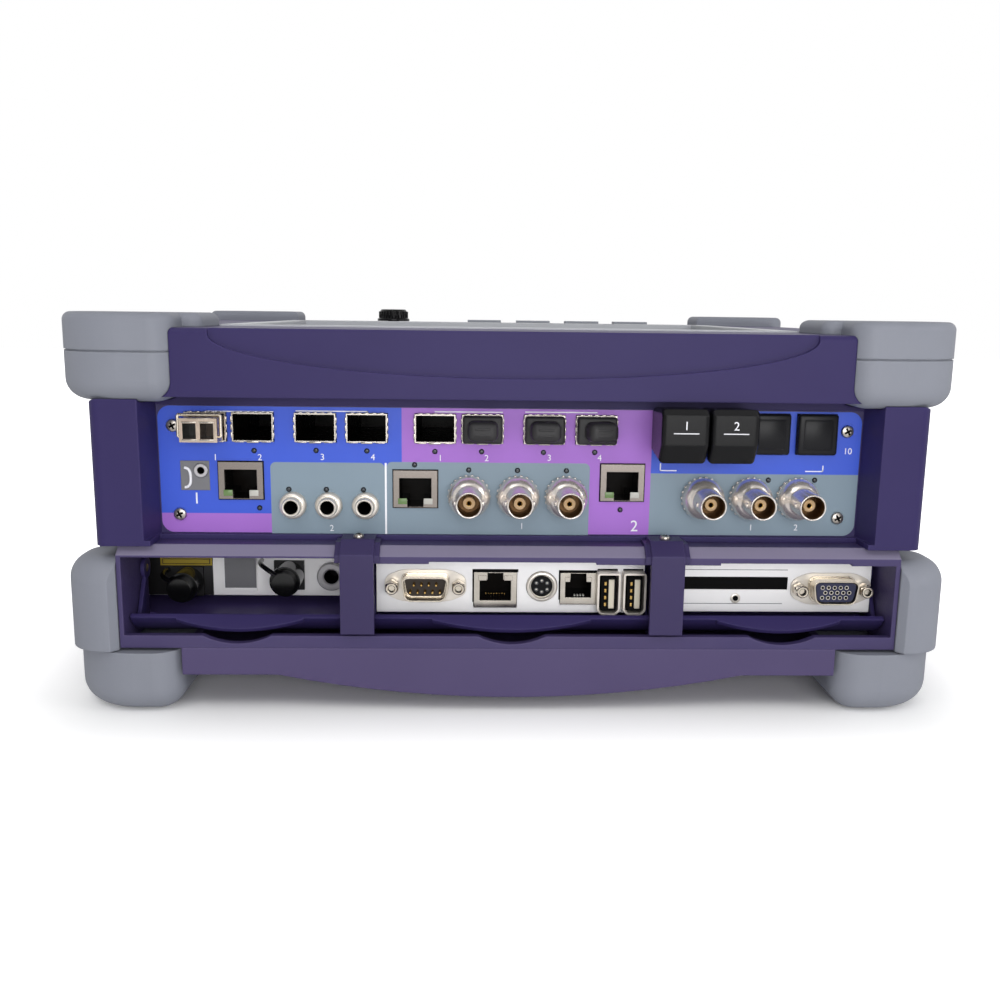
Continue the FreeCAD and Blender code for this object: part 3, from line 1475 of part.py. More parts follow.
hollow_z = (module_top - past, well_low - d.wall)
key_room_y = (bezel_y[1] + d.wall, back - d.wall)
KEY_COUNT = 4
key_x = [d.key_first + number * d.key_pitch for number in range(KEY_COUNT)]
lid_cuts = [
    smile_low,
    smile_high,
    box("lid_well", bezel_x, bezel_y, (well_low, deck + past)),
    box("lid_hollow_long", hollow_x, (face + d.wall, back - d.wall), hollow_z),
    box("lid_hollow_wide", both(side - d.wall), both(bumper_y - d.seat_gap - d.wall), hollow_z),
    box("lid_hollow_keys", hollow_x, key_room_y, (well_low - d.wall - past, lid_under)),
    rod(
        "knob_hole",
        d.knob_shaft_radius + d.knob_clear,
        d.wall + 2 * past,
        (d.knob_x, d.knob_y, lid_under - past),
        "+z",
    ),
]
half_hole_x = d.key_width / 2 + d.key_gap
half_hole_y = d.key_depth / 2 + d.key_gap
for number, x in enumerate(key_x):
    hole_x = (x - half_hole_x, x + half_hole_x)
    hole_y = (d.key_line - half_hole_y, d.key_line + half_hole_y)
    lid_cuts.append(box(f"key_hole_{number}", hole_x, hole_y, (lid_under - past, deck + past)))
node(cut("lid_cut", lid, lid_cuts + bumper_notches), "top_housing")

# Upper bumpers: a band over a deeper lower part, a groove between them, and a tongue on the deck.
bumper = doc.addObject("PartDesign::Body", "bumper")
GROOVE_HEIGHT = 0.6
TONGUE_RADIUS = 4
bumper_radii = (d.bumper_edge_radius, d.corner_radius, d.bumper_edge_radius)
bumper_inner = (bumper_x, bumper_y)
tongue_x = bumper_x - d.bumper_tongue
tongue_front = front + d.tongue_setback
groove_low = bumper_seam - GROOVE_HEIGHT
low_plan = corner_plan(bumper, "bumper_low_plan", bumper_inner, bumper_radii, bumper_low)
pad(bumper, low_plan, groove_low - bumper_low)
rounded(bumper, d.bumper_low_radius, at_level(bumper_low.value))
groove_plan = corner_plan(
    bumper, "bumper_groove_plan", bumper_inner, bumper_radii, groove_low, d.bumper_groove
)
pad(bumper, groove_plan, sized(GROOVE_HEIGHT))
band_plan = corner_plan(bumper, "bumper_band_plan", bumper_inner, bumper_radii, bumper_seam)
pad(bumper, band_plan, d.bumper_band)
tongue_plan = outline(
    bumper,
    "bumper_tongue",
    "XY_Plane",
    [
        (tongue_x, tongue_front + TONGUE_RADIUS),
        (tongue_x + TONGUE_RADIUS, tongue_front),
        (bumper_x + past, tongue_front),
        (bumper_x + past, -bumper_y),
        (tongue_x, -bumper_y),
    ],
    {0: sized(TONGUE_RADIUS) * QUARTER_BULGE},
    deck,
)
pad(bumper, tongue_plan, d.deck_drop)
rounded(bumper, d.bumper_top_radius, at_level(d.overall_height.value))
four_corners("upper_bumpers", bumper)

# Display: bezel frame, glass and panel, one on the other in the well.
BEZEL = SimpleNamespace(proud=0.6, lip=3)
bezel_low = deck - d.bezel_depth
glass_top = bezel_low + d.glass_thick
bezel_block = box("bezel_block", bezel_x, bezel_y, (bezel_low, deck + BEZEL.proud))
bezel_open = box(
    "bezel_open",
    both(d.display_width / 2 - BEZEL.lip),
    (display_y[0] + BEZEL.lip, display_y[1] - BEZEL.lip),
    (bezel_low - past, deck + 2 * past),
)
bezel_step = box("bezel_step", both(d.display_width / 2), display_y, (bezel_low - past, glass_top))
node(cut("bezel_cut", bezel_block, [bezel_open, bezel_step]), "display_bezel")
node(box("glass_block", both(d.display_width / 2), display_y, (bezel_low, glass_top)), "display_glass")
node(box("panel_block", both(d.display_width / 2), display_y, (well_low, bezel_low)), "display_panel")

# Keys: a cap with a flange under the deck, on a short stem; the board carries their switches.
KEY = SimpleNamespace(flange_margin=1.4, stem_radius=2)
flange_low = lid_under - d.key_flange
key_board_top = flange_low - d.key_stroke - d.key_stem


def key_slab(name, x, margin, z):
    half_x = d.key_width / 2 + margin
    half_y = d.key_depth / 2 + margin
    return box(name, (x - half_x, x + half_x), (d.key_line - half_y, d.key_line + half_y), z)


for number, x in enumerate(key_x, 1):
    cap = key_slab(f"key_cap_{number}", x, 0, (lid_under, deck + d.key_proud))
    flange = key_slab(f"key_flange_{number}", x, KEY.flange_margin, (flange_low, lid_under))
    stem_at = (x, d.key_line, flange_low - d.key_stem)
    stem = rod(f"key_stem_{number}", KEY.stem_radius, d.key_stem, stem_at, "+z")
    node(fuse(f"key_whole_{number}", [cap, flange, stem]), f"key_{number}")
key_board = box("key_board_block", hollow_x, key_room_y, (key_board_top - d.board_thick, key_board_top))
encoder_low = lid_under - d.encoder_height
half_encoder = d.encoder_size / 2
encoder_x = (d.knob_x - half_encoder, d.knob_x + half_encoder)
encoder_y = (d.knob_y - half_encoder, d.knob_y + half_encoder)
encoder = box("encoder_block", encoder_x, encoder_y, (encoder_low, lid_under))
shaft_hole = rod(
    "encoder_hole",
    d.knob_shaft_radius + d.running_gap,
    d.encoder_height,
    (d.knob_x, d.knob_y, encoder_low + past),
    "+z",
)
node(cut("key_board_cut", fuse("key_board_whole", [key_board, encoder]), [shaft_hole]), "key_board")

# Knob: a turned cap with a skirt, on a shaft that runs in the encoder.
knob = doc.addObject("PartDesign::Body", "knob")
KNOB = SimpleNamespace(skirt=1.2, shoulder=1.8, waist=1, top_inset=1.6, crown=0.8, crown_inset=2.4)
shaft_low = encoder_low + past + d.seat_gap
knob_low = deck + d.knob_clear
knob_high = knob_low + d.knob_height
knob_profile = outline(
    knob,
    "knob_profile",
    "XZ_Plane",
    [
        (0, shaft_low),
        (d.knob_shaft_radius, shaft_low),
        (d.knob_shaft_radius, knob_low),
        (d.knob_radius, knob_low),
        (d.knob_radius, knob_low + KNOB.skirt),
        (d.knob_radius - KNOB.waist, knob_low + KNOB.shoulder),
        (d.knob_radius - KNOB.top_inset, knob_high - KNOB.crown),
        (d.knob_radius - KNOB.crown_inset, knob_high),
        (0, knob_high),
    ],
)
turned = knob.newObject("PartDesign::Revolution", "knob_turned")
turned.Profile = knob_profile
turned.ReferenceAxis = (knob_profile, ["V_Axis"])
turned.Angle = 360
knob.Tip = turned
place(knob, d.knob_x, d.knob_y, 0)
node(knob, "knob")

# Inner pieces: boards, battery pack, optical block and the fan behind the vents.
main_board_top = usb_at[0][1] - USB.height / 2
main_board_start = middle_plate + d.plate_thick + d.seat_gap
main_board = box(
    "main_board_block",
    both(plate_reach),
    (main_board_start, main_board_start + d.main_board_depth),
    (main_board_top - d.board_thick, main_board_top),
)
node(main_board, "main_board")
inner_top = d.fascia_level - d.block_headroom
battery = box(
    "battery_block",
    (plate_inner + d.battery_gap, side - d.wall),
    (cage_end + d.battery_gap, foot_y - d.seat_gap - d.wall),
    (d.tray_floor_level, inner_top),
)
node(battery, "battery_pack")
optical_start = left_plate_y + d.plate_thick + FIBRE.tail
optical_block = box(
    "optical_block_body",
    (left_end, -plate_inner),
    (optical_start, optical_start + d.optical_block_depth),
    (d.floor_level, inner_top),
)
node(optical_block, "optical_block")
module_board = box(
    "module_board_block",
    both(module_half - d.wall - d.module_board_margin),
    (bulkhead_y + d.bulkhead + d.module_board_margin, back - d.wall - d.fan_room),
    (module_floor, module_floor + d.board_thick),
)
node(module_board, "module_board")
FAN = SimpleNamespace(margin=2.6, rim=1.4, depth=20, post=4, post_length=6, arm=4, arm_thick=2, overlap=0.5)
ROTOR = SimpleNamespace(hub_share=0.48, length=9, gap=0.6, blade_width=8, blade_thick=1.4, blade_start=0.5)
BLADE_COUNT = 7
PIN = SimpleNamespace(radius=1.5, length=4)
fan_size = module_ceiling - module_floor - 2 * FAN.margin
fan_bore = fan_size / 2 - FAN.rim
fan_y = back - d.wall - FAN.depth
fan_at = (sized(0), vent_level)
post_end = fan_y + FAN.post_length
fan_shell = cut(
    "fan_frame_cut",
    block("fan_block", fan_at, (fan_y, back - d.wall), fan_size, fan_size),
    [rod("fan_bore", fan_bore, FAN.depth + 2 * past, (0, fan_y - past, vent_level), "+y")],
)
fan_arm = block("fan_arm", fan_at, (fan_y, fan_y + FAN.arm_thick), 2 * (fan_bore + FAN.overlap), FAN.arm)
fan_post = rod("fan_post", FAN.post, FAN.post_length, (0, fan_y, vent_level), "+y")
fan_pin = rod("fan_pin", PIN.radius, PIN.length, (0, post_end, vent_level), "+y")
node(fuse("fan_frame_whole", [fan_shell, fan_post, fan_arm, fan_pin]), "fan_frame")
rotor_y = post_end + ROTOR.gap
rotor_items = [rod("rotor_hub", fan_bore * ROTOR.hub_share, ROTOR.length, (0, rotor_y, vent_level), "+y")]
for number in range(BLADE_COUNT):
    blade = doc.addObject("Part::Box", f"rotor_blade_{number}")
    bind(blade, "Length", fan_bore - ROTOR.gap)
    blade.Width = ROTOR.blade_width
    blade.Height = ROTOR.blade_thick
    blade_turn = Rotation(Vector(0, 1, 0), number * 360 / BLADE_COUNT)
    rotor_items.append(place(blade, 0, rotor_y + ROTOR.blade_start, vent_level, blade_turn))
rotor_mouth = (0, rotor_y - past, vent_level)
rotor_bore = rod("rotor_bore", PIN.radius + d.running_gap, PIN.length + past, rotor_mouth, "+y")
node(cut("rotor_cut", fuse("rotor_whole", rotor_items), [rotor_bore]), "fan_rotor")

doc.recompute()
for item in doc.Objects:
    if "Invalid" in item.State or "Error" in item.State:
        raise RuntimeError(f"{item.Label} did not build: {item.State}")
for item in nodes:
    if item.Shape.isNull() or not item.Shape.isValid():
        raise RuntimeError(f"{item.Label} has no valid shape")
os.makedirs("parts", exist_ok=True)
for item in nodes:
    item.Shape.exportStep(f"parts/{item.Label}.step")
    size = item.Shape.optimalBoundingBox()
    print(
        f"{item.Label:22s} solids {len(item.Shape.Solids)} volume {item.Shape.Volume / 1000:8.1f} cm3",
        f"x {size.XMin:7.1f} {size.XMax:7.1f} y {size.YMin:7.1f} {size.YMax:7.1f}",
        f"z {size.ZMin:6.1f} {size.ZMax:6.1f}",
    )
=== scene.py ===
import math

import bmesh
import bpy
from mathutils import Matrix, Vector


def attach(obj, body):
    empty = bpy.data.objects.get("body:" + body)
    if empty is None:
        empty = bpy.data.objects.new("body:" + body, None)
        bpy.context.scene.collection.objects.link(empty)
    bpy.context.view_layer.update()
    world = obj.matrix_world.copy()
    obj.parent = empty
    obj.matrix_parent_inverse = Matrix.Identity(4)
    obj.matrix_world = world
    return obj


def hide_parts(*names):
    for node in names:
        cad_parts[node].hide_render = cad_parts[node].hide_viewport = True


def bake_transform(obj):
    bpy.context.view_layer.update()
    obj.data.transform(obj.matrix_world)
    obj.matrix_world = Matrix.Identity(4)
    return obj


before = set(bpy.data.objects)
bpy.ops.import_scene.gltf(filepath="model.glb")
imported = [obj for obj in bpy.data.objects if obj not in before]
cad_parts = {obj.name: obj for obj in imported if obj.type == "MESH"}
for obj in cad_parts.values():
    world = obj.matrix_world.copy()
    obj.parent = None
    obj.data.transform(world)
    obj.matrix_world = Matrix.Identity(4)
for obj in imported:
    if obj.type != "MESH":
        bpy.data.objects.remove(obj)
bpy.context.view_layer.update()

# Lower housing.
# The tray that carries everything: one injection moulding in dark slate-purple plastic
# with a fine eroded grain. Its front lip hangs down in a shallow arch between the feet.
MM = 0.001
BODY = "instrument"
CLOUD_SIZE = 35
WORN_GAIN, WORN_LIFT = 1.9, 0.02


def tone(red, green, blue):
    """A colour as a paint chart gives it, from 0 to 255, turned into light."""
    return [*(((part / 255 + 0.055) / 1.055) ** 2.4 for part in (red, green, blue)), 1]


def wire(tree, kind, inputs=(), **settings):
    """Add one node to a material and feed its inputs with values or other nodes' outputs."""
    added = tree.nodes.new(kind)
    for setting, value in settings.items():
        setattr(added, setting, value)
    for socket, value in dict(inputs).items():
        if isinstance(value, bpy.types.NodeSocket):
            tree.links.new(value, added.inputs[socket])
        else:
            added.inputs[socket].default_value = value
    return added


def finish(name, sockets):
    """A new material, with the values that are the same all over set on its shader."""
    made = bpy.data.materials.new(name)
    made.use_nodes = True
    shader = made.node_tree.nodes["Principled BSDF"]
    for socket, value in sockets.items():
        shader.inputs[socket].default_value = value
    return made, made.node_tree, shader


def own_place(tree):
    """Where a point lies on its own object."""
    return wire(tree, "ShaderNodeTexCoord").outputs["Object"]


def vector(tree, operation, *values):
    """The outputs of one step of arithmetic on vectors."""
    return wire(tree, "ShaderNodeVectorMath", enumerate(values), operation=operation).outputs


def noise(tree, where, size, detail=3):
    """Cloudy noise whose features are about this many millimetres wide."""
    inputs = {"Vector": where, "Scale": 1 / (size * MM), "Detail": detail}
    return wire(tree, "ShaderNodeTexNoise", inputs).outputs["Fac"]


def between(tree, share, low, high, start=0, stop=1):
    """A number that runs from low to high as the share runs from start to stop."""
    ends = {"Value": share, "From Min": start, "From Max": stop, "To Min": low, "To Max": high}
    return wire(tree, "ShaderNodeMapRange", ends).outputs["Result"]


def scalar(tree, operation, first, second):
    """One step of arithmetic on two numbers."""
    return wire(tree, "ShaderNodeMath", {0: first, 1: second}, operation=operation).outputs[0]


def blended(tree, share, first, second):
    """A colour that runs from the first to the second as the share runs from 0 to 1."""
    inputs = {"Fac": share, "Color1": first, "Color2": second}
    return wire(tree, "ShaderNodeMixRGB", inputs).outputs["Color"]


def soft_normal(tree, rounding):
    """The normal as it would be with sharp edges rounded by so many millimetres."""
    return wire(tree, "ShaderNodeBevel", {"Radius": rounding * MM}, samples=4).outputs["Normal"]


def edge_share(tree, rounding, strength):
    """How near a point is to a sharp edge, from 0 to the strength, and the rounded normal there."""
    rounded = soft_normal(tree, rounding)
    flat = wire(tree, "ShaderNodeNewGeometry").outputs["Normal"]
    bend = vector(tree, "DOT_PRODUCT", rounded, flat)["Value"]
    return between(tree, bend, 0, strength, start=1, stop=0.9), rounded


def grained(tree, shader, speck, depth, rounded=None):
    """Press a fine grain, given in millimetres of depth, into a finish."""
    inputs = {"Height": speck, "Distance": depth * MM, "Strength": 1}
    if rounded:
        inputs["Normal"] = rounded
    bump = wire(tree, "ShaderNodeBump", inputs)
    tree.links.new(bump.outputs["Normal"], shader.inputs["Normal"])


def moulding(
    name, colour, shade, roughness, grain=0.4, depth=0.008, rounding=0.2, wear=0.1, gloss=0.5
):
    """Moulded plastic or rubber: clouded colour, fine grain, and edges rubbed a little paler."""
    made, tree, shader = finish(name, {"Specular IOR Level": gloss})
    where = own_place(tree)
    cloud = noise(tree, where, CLOUD_SIZE, 4)
    speck = noise(tree, where, grain, 2)
    edge, rounded = edge_share(tree, rounding, wear)
    tint = blended(tree, cloud, shade, colour)
    pale = [min(1, part * WORN_GAIN + WORN_LIFT) for part in colour[:3]] + [1]
    tree.links.new(blended(tree, edge, tint, pale), shader.inputs["Base Color"])
    tree.links.new(between(tree, speck, *roughness), shader.inputs["Roughness"])
    grained(tree, shader, speck, depth, rounded)
    return made


def dress(material, *nodes):
    """Give solids of the frame a better finish."""
    for name in nodes:
        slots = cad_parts[name].data.materials
        slots.clear()
        slots.append(material)


MAUVE = tone(80, 70, 108)
MAUVE_SHADE = tone(72, 62, 99)
mauve_plastic = moulding(
    "mauve_plastic", MAUVE, MAUVE_SHADE, (0.4, 0.54),
    grain=0.35, depth=0.012, rounding=0.8, wear=0.25, gloss=0.3,
)
dress(mauve_plastic, "lower_housing")

# Feet.
# Four soft grey rubber corner blocks, moulded in one piece each and pushed
# on to the tray's corners. Handling has left them slightly blotched.
GREY = tone(136, 139, 149)
GREY_SHADE = tone(124, 127, 137)
bumper_rubber = moulding(
    "bumper_rubber", GREY, GREY_SHADE, (0.5, 0.64),
    grain=0.5, depth=0.01, rounding=0.8, wear=0.15, gloss=0.4,
)
dress(bumper_rubber, "feet")

# Base frame, bay floor and strap posts.
# The mouldings round the three connector bays, with the ledge that the module slides in
# on. The same plastic as the tray, with a coarser stipple; the sloped ledge has a painted
# highlight.
PURPLE = tone(54, 46, 92)
PURPLE_SHADE = tone(47, 39, 83)
LEDGE_SHEEN = tone(122, 116, 140)
purple_plastic = moulding(
    "purple_plastic", PURPLE, PURPLE_SHADE, (0.38, 0.52),
    grain=0.35, depth=0.012, rounding=0.8, wear=0.3, gloss=0.18,
)
dark_purple = moulding(
    "dark_purple", tone(54, 45, 86), tone(48, 39, 78), (0.38, 0.52),
    grain=0.35, depth=0.012, rounding=0.8, wear=0.3, gloss=0.3,
)
dress(dark_purple, "bay_posts")
# The bay floor's purple is painted paler as painted light, for light that hardly reaches into the
# bays.
floor_purple_painted_lit = moulding(
    "floor_purple_painted_lit", tone(98, 84, 148), tone(88, 75, 136), (0.4, 0.55),
    grain=0.5, depth=0.012, rounding=0.8, wear=0.2, gloss=0.3,
)
dress(floor_purple_painted_lit, "bay_floor")


def distance_past(tree, where, half):
    """How far a point lies outside a block of this half size, in metres."""
    past = vector(tree, "SUBTRACT", vector(tree, "ABSOLUTE", where)[0], half)[0]
    return vector(tree, "LENGTH", vector(tree, "MAXIMUM", past, (0, 0, 0))[0])["Value"]


def zone_share(tree, where, centre, half, corner):
    """Whether a point lies in a block with rounded corners, in millimetres: 1 inside, 0 outside."""
    middle = Vector(centre) * MM
    core = (Vector(half) - Vector((corner, corner, corner))) * MM
    far = distance_past(tree, vector(tree, "SUBTRACT", where, middle)[0], core)
    return scalar(tree, "LESS_THAN", far, corner * MM)


def tinted(material, zones):
    """Lay colours over blocks of a finish, given by centre, half size, corner radius and colour."""
    tree = material.node_tree
    shader = tree.nodes["Principled BSDF"]
    where = own_place(tree)
    colour = shader.inputs["Base Color"].links[0].from_socket
    for centre, half, corner, ink in zones:
        colour = blended(tree, zone_share(tree, where, centre, half, corner), colour, ink)
    tree.links.new(colour, shader.inputs["Base Color"])
    return material


stippled_purple_sheen = moulding(
    "stippled_purple_sheen", MAUVE_SHADE, PURPLE, (0.4, 0.6),
    grain=0.8, depth=0.03, rounding=0.8, wear=0.3, gloss=0.35,
)
# A paler band on the sloped ledge's face is a painted highlight, where the top light catches it.
LEDGE_SHEEN_ZONE = ((0, -130.9, 60.8), (158, 2.1, 1.8), 0.1, LEDGE_SHEEN)
dress(tinted(stippled_purple_sheen, [LEDGE_SHEEN_ZONE]), "base_frame")

# Bay doors and their pins.
# Three curved covers that turn up out of the floor on steel
# pins; a bowed lip under each lets a finger in.
dress(purple_plastic, "door_left", "door_middle", "door_right")
FINE_GRAIN = 0.004
PLATE_EDGE = 0.2


def plated(name, colour, shade, roughness, patina=6, grain=0.25, metal=1):
    """Plated or plain sheet metal: faint patches in the plating and a fine scratchy grain."""
    made, tree, shader = finish(name, {"Metallic": metal})
    where = own_place(tree)
    patch = noise(tree, where, patina, 5)
    speck = noise(tree, where, grain, 2)
    rounded = soft_normal(tree, PLATE_EDGE)
    tree.links.new(blended(tree, patch, shade, colour), shader.inputs["Base Color"])
    tree.links.new(between(tree, patch, *roughness), shader.inputs["Roughness"])
    grained(tree, shader, speck, FINE_GRAIN, rounded)
    return made


screw_steel = plated("screw_steel", tone(204, 198, 190), tone(158, 150, 142), (0.22, 0.36))
dress(screw_steel, "door_pins")

# Screws.
# Steel pan heads with a cross recess: four hold the module's
# front plate, and one sits on each strap post.
SAME_POINT = 0.0005
SHARP_ANGLE = 34
MOST_COATS = 4
CROSS_TURN = 28
# Flat black painted into holes, bores, recesses, slots and gaps as painted shade.
painted_shade_black = moulding(
    "painted_shade_black", tone(9, 9, 10), tone(5, 5, 6), (0.6, 0.8), depth=0.01, wear=0, gloss=0.1
)


def placed(shape, at=(0, 0, 0), angle=0, axis="X", about=(0, 0, 0)):
    """A shape turned by an angle in degrees about a point, then moved."""
    if angle:
        turn = Matrix.Rotation(math.radians(angle), 3, axis)
        bmesh.ops.rotate(shape, cent=about, matrix=turn, verts=shape.verts)
    bmesh.ops.translate(shape, vec=at, verts=shape.verts)
    return shape


def rounded_off(shape, edges, radius, segments):
    """Round some of a shape's edges."""
    bmesh.ops.bevel(
        shape,
        geom=edges,
        offset=radius,
        affect="EDGES",
        segments=segments,
        profile=0.5,
        material=-1,
    )


def turned(profile, at=(0, 0, 0), axis="Y", steps=40):
    """A turned part, closed at both ends.

    Each point of its profile is a radius, a place along the axis, and the coat from there on.
    """
    if profile[0][0] and profile[-1][0]:
        profile = [*profile, profile[0]]
    elif profile[0][0]:
        profile = [(0, *profile[0][1:]), *profile]
    elif profile[-1][0]:
        profile = [*profile, (0, *profile[-1][1:])]
    shape = bmesh.new()
    ring = [shape.verts.new((radius, along, 0)) for radius, along, _ in profile]
    line = [shape.edges.new(pair) for pair in zip(ring, ring[1:])]
    bmesh.ops.spin(
        shape,
        geom=ring + line,
        cent=(0, 0, 0),
        axis=(0, 1, 0),
        angle=math.tau,
        steps=steps,
        use_merge=True,
    )
    bmesh.ops.remove_doubles(shape, verts=shape.verts, dist=SAME_POINT)
    bmesh.ops.recalc_face_normals(shape, faces=shape.faces)
    bands = [
        ((first[0] + second[0]) / 2, (first[1] + second[1]) / 2, first[2])
        for first, second in zip(profile, profile[1:])
    ]
    for face in shape.faces:
        middle = face.calc_center_median()
        radius = math.hypot(middle.x, middle.z)
        near = min(bands, key=lambda band: (band[0] - radius) ** 2 + (band[1] - middle.y) ** 2)
        face.material_index = near[2]
    return placed(shape, at, -90 if axis == "X" else 0, "Z")


def block(centre, size, rounding=0, segments=2, coat=0):
    """A block with all its edges rounded."""
    shape = bmesh.new()
    bmesh.ops.create_cube(shape, size=1)
    bmesh.ops.scale(shape, vec=size, verts=shape.verts)
    if rounding:
        rounded_off(shape, shape.edges, rounding, segments)
    for face in shape.faces:
        face.material_index = coat
    return placed(shape, centre)


def joined(parts):
    """Several parts as one shape."""
    whole = bmesh.new()
    scrap = bpy.data.meshes.new("scrap")
    for part in parts:
        part.to_mesh(scrap)
        part.free()
        whole.from_mesh(scrap)
    bpy.data.meshes.remove(scrap)
    return whole


def carved(shape, tool):
    """One shape cut out of another; the walls of the cut take the tool's coat."""
    things = []
    for part in (shape, tool):
        mesh = bpy.data.meshes.new("carving")
        part.to_mesh(mesh)
        part.free()
        for _ in range(MOST_COATS):
            mesh.materials.append(None)
        things.append(bpy.data.objects.new("carving", mesh))
        bpy.context.scene.collection.objects.link(things[-1])
    cutter = things[0].modifiers.new("cutter", "BOOLEAN")
    cutter.object = things[1]
    cutter.operation = "DIFFERENCE"
    result = bpy.data.meshes.new_from_object(
        things[0].evaluated_get(bpy.context.evaluated_depsgraph_get())
    )
    carving = bmesh.new()
    carving.from_mesh(result)
    for thing in things:
        mesh = thing.data
        bpy.data.objects.remove(thing)
        bpy.data.meshes.remove(mesh)
    bpy.data.meshes.remove(result)
    return carving


def piece(name, parts, coats, body=BODY, replaced=()):
    """Parts drawn in millimetres, as one object that rides on a body of the frame."""
    whole = joined(parts)
    bmesh.ops.scale(whole, vec=(MM, MM, MM), verts=whole.verts)
    for face in whole.faces:
        face.smooth = True
    mesh = bpy.data.meshes.new(name)
    whole.to_mesh(mesh)
    whole.free()
    mesh.set_sharp_from_angle(angle=math.radians(SHARP_ANGLE))
    for coat in coats:
        mesh.materials.append(coat)
    made = bpy.data.objects.new(name, mesh)
    bpy.context.scene.collection.objects.link(made)
    if body:
        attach(made, body)
    if replaced:
        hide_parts(*replaced)
    return made


def pan_head(at, radius, height, axis):
    """A screw's pan head with a cross recess, seen along one axis."""
    outline = [(0, 0), (0.96, 0), (1, 0.3), (0.86, 0.78), (0.5, 1), (0, 1)]
    head = turned([(radius * out, height * up, 0) for out, up in outline], steps=28)
    long, narrow, deep = radius * 1.15, radius * 0.3, height * 1.1
    for size in ((long, deep, narrow), (narrow, deep, long)):
        bar = block((0, height, 0), size, coat=1)
        head = carved(head, placed(bar, angle=CROSS_TURN, axis="Y"))
    return placed(head, at, 180 if axis == "Y" else 90)


MODULE_PLATE = -119
PLATE_SCREWS = [(-124.2, 104.5), (124.2, 104.5), (-122.8, 71.7), (122.8, 71.7)]
STRAP_SCREWS = [(-56.4, -126.4), (56.4, -126.4)]
STRAP_TOP = 64.9
HEAD_HEIGHT = 1.4
screw_heads = [pan_head((x, MODULE_PLATE, z), 2.4, HEAD_HEIGHT, "Y") for x, z in PLATE_SCREWS]
screw_heads += [pan_head((x, y, STRAP_TOP), 2, HEAD_HEIGHT, "Z") for x, y in STRAP_SCREWS]
piece("screw_heads", screw_heads, [screw_steel, painted_shade_black], replaced=["screws"])

# Corner guards.
# Upright rubber blocks between the tray and the module, in the same grey as the feet.
dress(bumper_rubber, "corner_guards")

# Connector plates of the base.
# Pale satin sheet, punched for each connector; the left one is in two pieces, the outer one painted
# black and with a bare yellow strip. Black films paint shade where a connector doesn't fill its
# cut-out.
satin_sheet = plated(
    "satin_sheet", tone(254, 253, 253), tone(247, 246, 247), (0.4, 0.52),
    patina=25, grain=0.3, metal=0.1,
)
dress(satin_sheet, "middle_plate", "right_plate", "left_plates")
MIDDLE_PLATE = -118
RIGHT_PLATE = -116
LEFT_PLATE = -90
black_paint = moulding(
    "black_paint", tone(24, 23, 25), tone(19, 18, 20), (0.45, 0.6), rounding=0.3, gloss=0.4
)
yellow_film = moulding(
    "yellow_film", tone(176, 152, 40), tone(150, 128, 32), (0.45, 0.6),
    grain=0.6, depth=0.006, rounding=0.1, gloss=0.4,
)
grey_panel_and_groove_shade = moulding(
    "grey_panel_and_groove_shade", tone(122, 122, 126), tone(110, 110, 114), (0.45, 0.6),
    grain=0.5, depth=0.01, gloss=0.4,
)
STRIP = (-129.6, 46.4)
left_details = [
    block((-137, LEFT_PLATE - 0.15, 44.4), (35.8, 0.3, 24), 0.1),
    block((STRIP[0], LEFT_PLATE - 0.35, STRIP[1]), (20.6, 0.16, 3.4), coat=1),
    block((STRIP[0], LEFT_PLATE - 0.45, STRIP[1]), (19, 0.1, 2.2)),
    block((STRIP[0], LEFT_PLATE - 0.52, STRIP[1]), (18.4, 0.1, 1.7), coat=1),
    block((-107.9, LEFT_PLATE - 1.3, 41.9), (12.6, 0.3, 12.4), 0.1, segments=1, coat=2),
]
piece("left_plate_details", left_details, [black_paint, yellow_film, grey_panel_and_groove_shade])
CUT_OUTS = [
    ((-14.6, 2.8), (49.7, 50.9)),
    ((-14.6, -13.9), (38, 50.9)),
    ((18.2, 32.9), (49.6, 50.6)),
    ((18.2, 18.9), (39, 50.6)),
    ((32.9, 40.6), (49.8, 51.2)),
    ((42.7, 50.4), (49.8, 51.2)),
]
INK_DEPTH = 0.1


def film(x, z, face, wider=0):
    """A thin film over a span of X and a span of Z on an upright face."""
    size = (x[1] - x[0] + wider, INK_DEPTH, z[1] - z[0] + wider)
    return block((sum(x) / 2, face, sum(z) / 2), size)


# Black films on the plate paint the shade in the cut-out gaps; a black block paints the shade in
# the card slot.
gap_shades = [film(x, z, MIDDLE_PLATE) for x, z in CUT_OUTS]
gap_shades.append(block((85.1, RIGHT_PLATE + 0.8, 45.3), (43, 1.4, 4.9)))
piece("plate_gap_shade", gap_shades, [painted_shade_black])

# Serial and video ports.
# D-shaped shells of drawn, nickel-plated steel on a pressed flange; one holds nine pins, the
# other a slate block with fifteen sunk contacts. A pair of threaded standoffs flanks each.
nickel = plated("nickel", tone(230, 222, 208), tone(196, 184, 166), (0.1, 0.26), patina=4)
white_nickel = plated(
    "white_nickel", tone(236, 230, 222), tone(214, 206, 194), (0.24, 0.4), patina=5, metal=0.6
)
gold = plated("gold", tone(226, 190, 116), tone(196, 158, 86), (0.2, 0.32), patina=3)
brown_core = moulding("brown_core", tone(52, 40, 30), tone(38, 29, 22), (0.5, 0.65))
slate_core = moulding(
    "slate_core", tone(58, 60, 84), tone(48, 50, 72), (0.4, 0.55), wear=0.15, gloss=0.15
)


